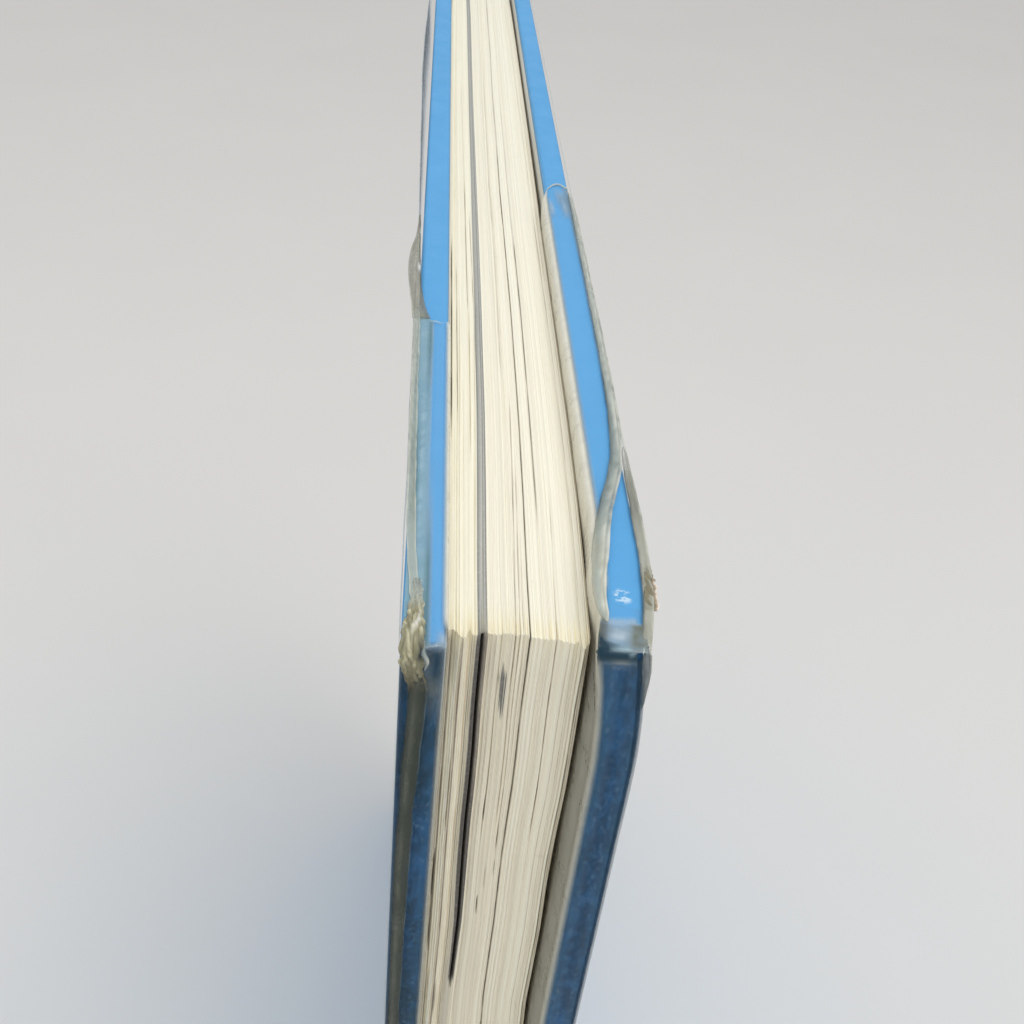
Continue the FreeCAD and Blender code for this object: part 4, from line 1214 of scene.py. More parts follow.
class YEARBOOK_OT_jacket(bpy.types.Operator):
    """Add the jacket's outer sheet, in two halves that meet on the spine"""

    bl_idname = "yearbook.add_jacket"
    bl_label = "Jacket sheet"

    def execute(self, context):
        jacket = context.scene.yearbook_jacket
        material = bpy.data.materials.get("aged_vinyl") or vinyl_material()
        for side in ("front", "back"):
            outer, inner, outer_film, inner_film = self.outer_sheet(side, jacket)
            points, faces = shell(outer, inner)
            both = np.concatenate([outer_film.reshape(-1, 4), inner_film.reshape(-1, 4)])
            piece = make_piece(f"{side}_jacket_sheet", points, faces, material, colours=both, crisp=60)
            nodes = [f"jacket_{side}"] + (["jacket_spine"] if side == "front" else [])
            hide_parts(*nodes)
            over_hinge(piece)
        return {"FINISHED"}

    def outer_sheet(self, side, jacket):
        """One half of the outer sheet, as its two faces and the film of each.

        Its section runs from the middle of the spine round the spine's corner, sags a little over
        the groove, lies along the cover and turns over the fore-edge to the weld. Its head edge
        stands off the cloth by the head-edge table, which the sheet reaches in its last 24 mm.
        """
        thick = jacket.vinyl_thickness / MM
        spine = WRAP_LOW[0]
        flat = np.r_[np.linspace(spine + 3.2, BOARD_X + 6, 10), np.linspace(BOARD_X + 14, 0, 14),
                     np.linspace(8, FORE_X - 1.2, 34)]
        section = np.concatenate([
            [[spine, 0], [spine, 4], [spine, 7.5]],
            arc(spine + 2, JACKET_OUT - 2, 2, 180, 90, 8),
            np.stack([flat, np.full(len(flat), JACKET_OUT)], 1),
            arc(FORE_X - 0.5, JACKET_OUT - 0.75, 0.75, 90, 0, 7)[1:],
        ])
        z = np.r_[0, 0.3, 1, 3, np.linspace(8, JACKET_HEAD - 26, 30), JACKET_HEAD - np.array([22, 17, 12, 8, 5, 3, 1.6, 0.8, 0.3, 0])]
        x, out, zz = section[:, :1] + 0 * z, section[:, 1:] + 0 * z, z + 0 * section[:, :1]
        out = out - 0.55 * bump(x, SPINE_X + 3.9, 2.2) * (out > 9)
        from_edge = FORE_X - x
        panel = smooth((x - BOARD_X) / 10) * smooth((from_edge - 2) / 12)
        out = out + panel * 0.05 * (ripple2(x / 60, zz / 60, 4 if side == "front" else 6, 0.6, 2.2) + 1.2)
        high = smooth((zz - JACKET_HEAD + 24) / 24)
        edge_at, edge_out = zip(*HEAD_EDGE[side])
        stand = np.interp(-from_edge, edge_at, edge_out) - JACKET_OUT
        stand = stand + 0.03 * ripple(x, 12 if side == "front" else 13, 7, 40) * smooth(from_edge / 5)
        out = out + high**1.6 * stand * smooth((x - spine) / 8) * (out > 10.7)
        shrink = smooth((x - FORE_X + 1.5) / 1.6) * 0.9
        zz = np.clip(zz, shrink, JACKET_HEAD - shrink)
        grid = place(side, x, out, zz)
        normal = grid_normals(grid)
        outward = np.zeros_like(grid)
        outward[..., 1] = np.where(x < spine + 1, 0, 1.0) * (1 if side == "back" else -1)
        outward[..., 0] = np.where(x < spine + 1, -1, 0) + np.where(x > FORE_X - 0.2, 1, 0)
        flip = np.sign((normal * outward).sum(-1, keepdims=True))
        normal = normal * np.where(flip == 0, 1, flip)
        inner = grid - normal * thick

        outer_film = film(x.shape, tuple(jacket.tint), jacket.haze)
        inner_film = outer_film.copy()
        yellow = 0.5 * smooth((x - FORE_X + 3) / 3) * (side == "front")
        rim = (bump(zz, JACKET_HEAD, 0.2) + bump(zz, 0, 0.2)).clip(0, 1)
        fore = smooth((x - FORE_X + 0.25) / 0.4)
        for sheet in (outer_film, inner_film):
            sheet[:] = painted(sheet, YELLOWED, 0.12, yellow)
            # on the fore-edge turn the sheet is tinted dark blue: painted shade of the fore-edge side
            sheet[:] = painted(sheet, (0.02, 0.06, 0.11), 0.25, fore)
            if side == "back":
                near = smooth((zz - JACKET_HEAD + 26) / 14) * smooth((x - FORE_X + 1.6) / 1.2)
                sheet[:] = painted(sheet, (0.03, 0.06, 0.08), 0.22, near)
            edge = painted(sheet, (0.16, 0.26, 0.32), 0.5, rim) if side == "front" else painted(sheet, PALE_EDGE, 0.6, rim)
            sheet[:] = edge
        depth = smooth((zz - JACKET_HEAD + 14) / 10) * smooth((stand - 0.1) / 0.2) * (1 - rim) * smooth((x + 100) / 12)
        inner_film = painted(inner_film, SHADED_GREEN, 0.74, depth * smooth((from_edge - 80) / 12))
        return grid, inner, outer_film, inner_film


class YEARBOOK_OT_pockets(bpy.types.Operator):
    """Add the jacket's two pocket sheets, carried over the boards' edges"""

    bl_idname = "yearbook.add_pockets"
    bl_label = "Pocket sheets"

    def execute(self, context):
        jacket = context.scene.yearbook_jacket
        material = bpy.data.materials.get("aged_vinyl") or vinyl_material()
        for side in ("front", "back"):
            top, bottom, colours = self.pocket_sheet(side, jacket)
            points, faces = shell(top, bottom)
            both = np.concatenate([colours.reshape(-1, 4)] * 2)
            piece = make_piece(f"{side}_pocket", points, faces, material, colours=both, crisp=60)
            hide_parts(f"{side}_pocket_sheet")
            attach(piece, f"{side}_cover")
        return {"FINISHED"}

    def pocket_sheet(self, side, jacket):
        """A pocket sheet: flat on the pastedown and wrapped over head, fore-edge and tail to the weld.

        Its mouth is cut square on the front. On the back the mouth arches over the board's edge.
        Near the back's corner the sheet has torn off the weld, so its edge runs aslant across the
        board's head to the inner corner, and comes back at the very corner.
        """
        thick = jacket.vinyl_thickness / MM
        gap, radius = 0.02, 0.9
        back = side == "back"
        face = PASTE_IN - thick - gap
        mouth = FORE_X - POCKET[side]
        x_end, z_low, z_high = FORE_X + 0.27 - radius, radius + 0.02, JACKET_HEAD + gap - radius
        x_flat = np.r_[mouth, mouth + 0.14, mouth + 0.4, mouth + 0.9, mouth + 2, np.linspace(mouth + 4, FORE_X - 36, 16 if back else 5),
                       np.linspace(FORE_X - 34, FORE_X - 7, 34), np.linspace(FORE_X - 6.5, x_end, 26)]
        z_flat = np.r_[z_low, np.linspace(z_low + 4, z_high - 16, 30), z_high - np.array([12, 8, 5, 3.4, 2.2, 1.2, 0.5, 0])]
        full = JACKET_OUT - 0.8 - face - radius

        def over_head(x, z):
            """How far the sheet runs on over the board's edge; past the tear it stops at once."""
            reach = full + 0.4
            if not back:
                return np.where(z > 100, reach, full)
            torn = np.interp(
                FORE_X - x, (0, 2.5, 4.9, 5.15, 5.4, 5.8, 12, 15, 17, 20.1, 23.4, 26.8, 30),
                (reach + 0.45, reach + 0.3, reach, 1.0, 0.4, 0.05, 0.05, 0.1, 0.25, 0.8, 1.8, 2.4, reach),
            )
            return np.where(z > 100, torn, full)

        x, out, z = wrapped(x_flat, z_flat, radius, full, face, 1, (False, True), over_head)
        # stand the corners off the cloth's
        poke = 0.34 * ((x - x_end) / radius).clip(0, 1) * np.maximum((z - z_high) / radius, (z_low - z) / radius).clip(0, 1)
        x, z = x + poke, z + poke * np.sign(z - 100)
        at_mouth = np.clip(1 - (x - mouth) / 12, 0, 1) ** 2
        if back:
            arch = np.interp(out, (7.0, 7.05, 7.7, 8.7, 9.7, 10.4), (7.0, 5.6, 2.4, 0.5, 0.0, 1.5))
            x = x + at_mouth * np.where(z > 100, arch - 2.0, 0.5 * ripple(z, 6, 4, 30) + 3)
        else:
            x = x + at_mouth * (0.22 * ripple(out * 1.7 + z / 9, 12, 1.2, 5) + 0.4 - 1.2 * smooth((out - 9.2) / 0.9) * (z > 100))
        flat_part = out < face + 0.05
        swell = smooth((FORE_X - 1.2 - x) / 2.6) * smooth((x - FORE_X + 14) / 8)
        swell = swell * smooth((x - mouth) / 4) * flat_part * (1 - smooth(corner_bend(x, z) / 0.45))
        if back:
            # near the head the sheet bulges inwards, most of all near the torn corner, but keeps off
            # the flyleaf: free is the room left beside it
            bulge = 0.55 * bump(x, FORE_X - 8.5, 5.5) * smooth((z - LEAF_HIGH[2] + 6) / 7)
            bulge = bulge + 0.36 * smooth((z - LEAF_HIGH[2] + 9) / 6)
            free = face - (leaf_y(1.0, x, z) + (x - HINGE_X) * math.sin(LEAN) + 0.20)
            bulge = np.where(z < LEAF_HIGH[2] + 0.8, np.minimum(bulge, free.clip(0)), bulge)
            bulge = bulge * (1 - smooth(corner_bend(x, z) / 0.5)) * (1 - smooth((out - face) / 1.3))
            bulge = bulge * smooth((x - mouth) / 6) * smooth((FORE_X - 2.0 - x) / 3)
            out = out - np.maximum(swell * (0.34 + 0.05 * ripple(x + z, 77, 5, 40)), bulge) - 0.03 * flat_part * (
                ripple2(x / 30, z / 30, 31, 0.6, 2.0) * smooth((FORE_X - 8 - x) / 6) * (z < 308)
            )
        else:
            out = out - 0.008 * flat_part * (1 + ripple2(x / 30, z / 30, 31, 0.6, 2.0)) * smooth((FORE_X - 8 - x) / 6)
        over = ~flat_part
        lump = ripple2(x / 5, out / 1.6 + z / 9, 61, 0.6, 1.9)
        rough_corner = smooth((x - x_end + 5) / 4) * smooth((z - z_high + 3.5) / 3)
        grid = place(side, x, out, z)
        normal = grid_normals(grid)
        inward = np.zeros_like(grid)
        inward[..., 1] = np.where(out < face + radius / 2, 1, 0) * (1 if back else -1)
        inward[..., 2] = np.where((z > z_high) & (out >= face + radius / 2), -1, 0) + np.where((z < z_low) & (out >= face + radius / 2), 1, 0)
        inward[..., 0] = np.where((x > x_end) & (out >= face + radius / 2), -1, 0)
        flip = np.sign((normal * inward).sum(-1, keepdims=True))
        normal = normal * np.where(flip == 0, 1, flip)
        if back:
            grid = grid - normal * (over * rough_corner * 0.10 * (lump + 0.9).clip(0, 2))[..., None]

        colours = film(x.shape, tuple(jacket.tint), jacket.haze)
        on_head = smooth((z - z_high - 0.2) / 0.3)
        on_fore = smooth((x - x_end - 0.4) / 0.3) * (1 - on_head)
        inner = smooth((face + 0.55 - out) / 0.4)
        margin = 1 - smooth((np.minimum(FORE_X - x, np.minimum(z, JACKET_HEAD - z)) - 9) / 14)
        # run is the way along the board's edge: negative on the head, 0 at the corner, then down
        run = (x - FORE_X - 0.3) - (z - JACKET_HEAD)
        bend_line = smooth((x - x_end - 0.1) / 0.3) * (1 - smooth((out - face - (0.35 if back else 0.08)) / (0.35 if back else 0.22))) * (1 - on_head)
        if back:
            # lower down near the fore-edge the sheet's inner face goes from cream to grey: painted shade in the gap
            # between leaves and board
            down = smooth((CASE_HEAD - 1.5 - z) / 4) * smooth((x - FORE_X + 6) / 3)
            tint = np.array(CREAM_FLAP) * (1 - down[..., None]) + down[..., None] * np.array((0.41, 0.41, 0.365))
            goal = np.concatenate([tint, (0.20 + 0.62 * margin)[..., None]], -1)
            colours = colours + (goal - colours) * inner[..., None]
            colours = painted(colours, (0.72, 0.71, 0.62), 0.7, bend_line)
            deep = smooth((x - mouth) / 3) * smooth((mouth + 30 - x) / 26)
            wedge = smooth((out - 8.2 - 0.12 * (x - mouth)) / 0.7) * smooth((mouth + 12 - x) / 4)
            # near the mouth the head edge is greyer: haze together with painted shade inside the arch
            colours = painted(colours, (0.36, 0.50, 0.56), 0.30, on_head * deep * wedge)
            border = np.interp(x - FORE_X, (-96, -83, -73, -60, -40), (10.4, 10.5, 10.6, 10.62, 10.6))
            beside = smooth((FORE_X - 34 - x) / 6) * on_head
            colours = painted(colours, (0.24, 0.34, 0.34), 0.40, smooth((out - border - 0.1) / 0.15) * beside)
            colours = painted(colours, (0.05, 0.11, 0.14), 0.55, bump(out, border, 0.10) * beside)
            second = mouth + 5.5 + 2.6 * (out - 8.9) ** 2
            colours = painted(colours, (0.55, 0.68, 0.72), 0.35, on_head * bump(x, second, 0.5) * window(out, 7.6, 10.0, 0.4))
            colours = painted(colours, (0.16, 0.30, 0.42), 0.06, on_fore * (bump(out, 7.9, 0.55) + bump(out, 10.1, 0.45)).clip(0, 1))
            # the wrap left at the corner, below the tear: milky, with a painted highlight on a wrinkle, then
            # painted shade under a curve where it turns down to the fore-edge, then a light line
            wrap = smooth((run + 4.5) / 0.8) * (1 - smooth((run - 0.6) / 0.9)) * over
            grime = (0.85 + 0.35 * ripple2(run / 1.3, out / 0.9, 63, 0.5, 2.0)).clip(0.7, 1.15)
            fine = 0.13 * ripple2(run / 0.5, out / 0.4, 66, 0.5, 2.0)
            curve = np.interp(out, (6.9, 7.4, 8.0, 8.8, 9.3, 9.8, 10.8), (-3.0, -2.2, -1.3, -1.0, -0.8, -0.45, -0.3)) + fine
            colours = painted(colours, (0.32, 0.48, 0.60), 0.52, (wrap * window(run, -3.9, -0.2, 1.1) * grime).clip(0, 1))
            # painted highlight on a wrinkle
            colours = painted(colours, (0.70, 0.80, 0.84), 0.52, (wrap * bump(run, -2.0 + fine, 0.62) * bump(out, 8.75, 0.75) * grime).clip(0, 1))
            colours = painted(colours, (0.16, 0.19, 0.19), 0.62, wrap * (1 - smooth((out - 7.5) / 0.8)) * window(run, -3.6, 0.2, 1.2))
            colours = painted(colours, (0.23, 0.26, 0.22), 0.60, wrap * smooth((out - 9.3) / 0.8) * window(run, -4.0, -0.3, 1.3) * grime)
            # painted shade under the curve, towards the fore-edge
            colours = painted(colours, (0.016, 0.055, 0.085), 0.72, wrap * smooth((run - curve) / 0.45) * window(out, 7.1, 10.6, 0.5))
            wavy = 0.12 * ripple(out, 65, 0.7, 2.4) - 0.35 + 0.30 * ((out - 9.05) / 0.8) ** 2
            wavy = np.where(out < 9.05, -0.35 - 0.20 * ((9.05 - out) / 0.9) ** 2, wavy)
            colours = painted(colours, (0.42, 0.58, 0.64), 0.62, (bump(run - wavy, 0, 0.26) * window(out, 8.2, 10.1, 0.5) * over * (0.85 + fine * 2)).clip(0, 1))
            colours = painted(colours, (0.60, 0.72, 0.78), 0.30, bump(run + 0.3 * (out - 9) ** 2 / 3, -3.5, 0.3) * window(out, 7.7, 10.6, 0.4) * over)
        else:
            by_head = smooth((z - LEAF_HIGH[2] + 3) / 3)
            colours = painted(colours, (0.62, 0.62, 0.52), 0.03 + 0.22 * margin, inner)
            # painted light: above the leaves the sheet's inner face is a bright cream, lighter than the endpaper behind
            # it
            colours = painted(colours, (0.97, 0.94, 0.82), 0.85, inner * by_head * (1 - smooth((x - FORE_X + 3.5) / 2)))
            border = np.interp(x - FORE_X, (-54, -30, -18, -9), (9.38, 9.12, 9.0, 8.88))
            band = on_head * smooth((out - border) / 0.14)
            colours = painted(colours, (0.36, 0.56, 0.62), 0.44, band)
            shine = (0.5 + 0.8 * ripple(x, 52, 1.5, 9)).clip(0, 1)
            colours = painted(colours, (0.55, 0.74, 0.84), 0.55, 0.6 * band * bump(out, border + 0.75, 0.24) * shine)
            colours = painted(colours, (0.16, 0.30, 0.31), 0.50, on_head * bump(out, border + 0.05, 0.12))
            colours = painted(colours, (0.20, 0.36, 0.38), 0.45, on_head * bump(out, border + 1.25, 0.10))
            colours = painted(colours, (0.50, 0.62, 0.72), 0.03, on_head * window(out, 6, 8.8, 0.2))
            until = by_head * (1 - smooth((x - FORE_X + 3.5) / 2))
            # a painted highlight in pale blue along the board's inner edge, then painted light in bright cream inside
            # it
            colours = painted(colours, (0.62, 0.80, 0.90), 0.40, window(out, 7.32, 7.52, 0.12) * until)
            colours = painted(colours, (0.97, 0.95, 0.84), 0.80, (1 - smooth((out - 7.26) / 0.12)) * until)
            # painted shade on the fore-edge just below the rounded head corner
            colours = painted(colours, (0.02, 0.06, 0.09), 0.30, on_fore * bump(out, 8.0, 0.9) * smooth((z - JACKET_HEAD + 7) / 4))
            wavy = 0.10 * ripple(out, 67, 0.7, 2.4)
            colours = painted(colours, (0.56, 0.72, 0.80), 0.36, bump(run - wavy, 0.05, 0.2) * over * window(out, 6, 9.4, 0.4))
            colours = painted(colours, (0.60, 0.70, 0.72), 0.4, bump(run, -0.7, 0.9) * bump(out, face + 0.5, 0.35))
            colours = painted(colours, (0.62, 0.61, 0.52), 0.55 * smooth((JACKET_HEAD - 3 - z) / 8), bend_line)
        rim = (np.arange(x.shape[0]) < 2)[:, None] * 1.0
        faint = 0.5 * window(out, 8.2, 9.5, 0.5)
        colours = painted(colours, PALE_EDGE if back else (0.60, 0.80, 0.88), 0.72, rim * (1.0 if back else faint))
        torn = (np.arange(x.shape[1]) >= x.shape[1] - 2)[None] * smooth((FORE_X - 3.0 - x) / 0.3) * smooth((x - FORE_X + 26) / 3)
        if back:
            colours = painted(colours, (0.20, 0.30, 0.36), 0.05, torn * smooth((x - FORE_X + 13) / 2))
        return grid, grid + normal * thick, colours


def carried(side, route, count):
    """A smooth path through rows of a route; columns after the third come back as they are.

    The first three are x from the board's fore-edge, distance out and z.
    """
    path = along(route, count)
    for _ in range(6):
        path[1:-1] = (path[:-2] + 2 * path[1:-1] + path[2:]) / 4
    return place(side, FORE_X + path[:, 0], path[:, 1], path[:, 2]), path[:, 3]


H = JACKET_HEAD + 0.08
# Welded strips: name, side, whether it lies on the head or the fore-edge, tint, hiding, half
# thickness, and its route as rows of x from the board's fore-edge, distance out, z and half width.
WELDS = (
    ("front_weld_head", "front", "head", GREY_WELD, 0.60, 0.10,
     ((-56.5, 11.15, H, 0.40), (-54, 11.08, H, 0.44), (-51, 11.02, H, 0.41), (-42, 10.93, H, 0.40), (-30, 10.82, H, 0.41),
      (-18.6, 10.62, H, 0.43), (-12, 10.42, H, 0.40), (-9.4, 10.25, H, 0.40), (-6.6, 10.0, H, 0.42), (-4.6, 9.9, H, 0.45))),
    # dark olive: double layer of vinyl and painted shade of the fore-edge
    ("front_weld_fore", "front", "fore", SHADED_OLIVE, 0.64, 0.09,
     ((0.38, 9.30, H - 3.0, 0.76), (0.40, 9.26, H - 6, 0.80), (0.40, 9.37, H - 8.5, 0.76), (0.40, 9.66, H - 12, 0.78),
      (0.40, 9.76, H - 16.5, 0.75), (0.40, 9.84, H - 21, 0.72), (0.40, 10.0, H - 26, 0.71), (0.40, 9.98, H - 33, 0.72),
      (0.40, 10.05, H - 43.5, 0.64), (0.40, 10.03, H - 51, 0.58), (0.40, 9.85, 200, 0.62), (0.40, 9.65, 120, 0.7),
      (0.40, 9.8, 40, 0.68), (0.40, 9.7, 3, 0.7))),
    ("back_weld_head", "back", "head", (0.33, 0.38, 0.34), 0.52, 0.11,
     ((-96, 10.75, H, 0.18), (-92, 10.92, H, 0.26), (-86, 11.0, H, 0.36), (-74, 11.02, H, 0.42), (-62, 11.04, H, 0.44),
      (-50, 11.04, H, 0.48), (-42, 10.98, H, 0.52), (-36, 10.86, H, 0.56), (-31, 10.64, H, 0.60), (-26.8, 10.29, H, 0.65),
      (-23.4, 9.64, H + 0.04, 0.68), (-20.1, 8.65, H + 0.08, 0.68), (-17, 8.0, H + 0.1, 0.70), (-14, 7.46, H + 0.1, 0.73),
      (-11.2, 7.11, H + 0.08, 0.73), (-8.5, 6.92, H, 0.70), (-5.9, 6.95, H - 0.1, 0.58), (-4.4, 7.25, H - 0.1, 0.42),
      (-3.2, 7.75, H - 0.05, 0.36))),
    ("back_weld_outer", "back", "head", (0.27, 0.28, 0.22), 0.6, 0.11,
     ((-29, 11.18, H, 0.24), (-26, 11.14, H, 0.34), (-23.5, 11.10, H, 0.42), (-20.3, 11.14, H, 0.46), (-14.3, 11.10, H, 0.52),
      (-10.5, 11.08, H, 0.50), (-8.7, 11.12, H, 0.50), (-6, 11.15, H, 0.44), (-3.6, 11.12, H, 0.44), (-1.8, 11.12, H - 0.1, 0.42), (-0.3, 11.1, H - 0.3, 0.38))),
    ("back_edge_fold", "back", "fore", (0.05, 0.085, 0.10), 0.56, 0.05,
     ((-0.45, 11.20, H + 0.02, 0.40), (0.0, 11.20, H - 0.5, 0.42), (0.24, 11.16, H - 2.2, 0.36), (0.28, 10.98, H - 4.0, 0.24),
      (0.30, 10.80, H - 6.5, 0.12))),
    ("back_weld_fore", "back", "fore", (0.08, 0.15, 0.22), 0.22, 0.07,
     ((0.34, 10.76, H - 3, 0.16), (0.34, 10.72, 290, 0.16), (0.34, 10.70, 200, 0.16), (0.34, 10.74, 100, 0.16), (0.34, 10.7, 3, 0.16))),
    ("back_edge_rim", "back", "head", (0.72, 0.70, 0.62), 0.5, 0.05,
     ((-3.4, 11.25, H, 0.05), (-2.2, 11.38, H, 0.09), (-0.8, 11.46, H - 0.35, 0.09), (0.15, 11.42, H - 1.6, 0.07),
      (0.26, 11.30, H - 4.5, 0.05))),
    ("front_weld_tail", "front", "head", GREY_WELD, 0.6, 0.1, ((-54, 10.8, 0.14, 0.4), (-30, 10.7, 0.14, 0.4), (-3, 10.6, 0.14, 0.4))),
    ("back_weld_tail", "back", "head", GREY_WELD, 0.6, 0.1, ((-96, 10.8, 0.14, 0.4), (-50, 10.7, 0.14, 0.4), (-3, 10.6, 0.14, 0.4))),
)
# Lines that run along a weld: place across it, half width and colour. The dark line at a strip's inner edge is a
# painted shadow beside it.
LIGHT_LINE, SHADOW_LINE = (0.74, 0.76, 0.66), (0.07, 0.10, 0.10)
RIDGES = {
    "front_weld_head": ((-0.90, 0.09, LIGHT_LINE), (0.90, 0.09, LIGHT_LINE)),
    "back_weld_head": ((-0.93, 0.08, SHADOW_LINE), (-0.35, 0.10, (0.44, 0.50, 0.46)), (0.28, 0.06, LIGHT_LINE), (0.90, 0.16, (0.84, 0.84, 0.74))),
    "back_weld_outer": ((-0.92, 0.14, SHADOW_LINE), (0.9, 0.12, LIGHT_LINE), (0.1, 0.1, (0.36, 0.38, 0.32))),
    "back_edge_fold": ((0.9, 0.14, (0.46, 0.47, 0.42)), (-0.6, 0.2, (0.03, 0.06, 0.08))),
    "front_weld_fore": ((0.25, 0.20, (0.13, 0.145, 0.115)), (-0.45, 0.14, (0.035, 0.045, 0.035)), (0.62, 0.08, (0.04, 0.05, 0.045)),
                        (-0.97, 0.04, (0.13, 0.20, 0.24))),
}


class YEARBOOK_OT_welds(bpy.types.Operator):
    """Add the welded strips that join the pockets to the outer sheet"""

    bl_idname = "yearbook.add_welds"
    bl_label = "Welds"

    def execute(self, context):
        material = bpy.data.materials.get("aged_vinyl") or vinyl_material()
        for name, side, lies_on, tint, hiding, half_height, route in WELDS:
            count = 90 if lies_on == "head" else 140
            path, half_width = carried(side, route, count)
            tangent = np.gradient(path, axis=0)
            at = np.r_[0, np.cumsum(np.linalg.norm(np.diff(path, axis=0), axis=1))]
            tangent /= np.linalg.norm(tangent, axis=1, keepdims=True)
            up = np.tile([0, 0, 1.0] if lies_on == "head" else [1.0, 0, 0], (count, 1))
            across = np.cross(tangent, up)
            across /= np.linalg.norm(across, axis=1, keepdims=True)
            outward = across[:, 1] * (1 if side == "back" else -1)
            across = across * np.sign(outward)[:, None]
            ends = np.clip(np.minimum(at, at[-1] - at) / 0.8, 0.25, 1)
            width = half_width * ends * (1 + 0.06 * ripple(at, len(name), 3, 22))
            points, faces, c = tube(path, across, up, width, half_height, 24)
            run = np.repeat(at, 24)
            colours = film((count * 24,), tint, hiding)
            mottle = (0.5 + 0.5 * ripple2(run / (3 if lies_on == "head" else 9), 2.2 * c, 5 + len(name), 0.5, 1.6)).clip(0, 1)
            colours = painted(colours, tuple(0.55 * v for v in tint), hiding, 0.5 * mottle)
            if name == "front_weld_fore":
                colours[..., 3] *= 1 - 0.72 * smooth((np.abs(c) - 0.62) / 0.34)
            if name == "back_weld_outer":
                colours[..., 3] *= 0.12 + 0.88 * smooth(run / 7)
            late = np.repeat(smooth((path[:, 0] - FORE_X + 20) / 9), 24)
            if lies_on == "head":
                # towards the corner the strip is paler
                colours = painted(colours, (0.56, 0.62, 0.58) if side == "front" else (0.52, 0.52, 0.43), hiding, 0.75 * late)
            for shift, half, line in RIDGES.get(name, ()):
                much = bump(c, shift, 2.2 * half) * (0.65 + 0.35 * ripple(run, 90 + int(9 * shift), 2, 18)).clip(0, 1)
                if name == "back_weld_head":
                    much = much * (1 - late) if line == SHADOW_LINE else much * (1 + 0.5 * late)
                colours = painted(colours, line, min(1, hiding + 0.2), (0.85 * much).clip(0, 1))
            piece = make_piece(name, points, faces, material, colours=colours, crisp=70)
            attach(piece, f"{side}_cover")
        return {"FINISHED"}


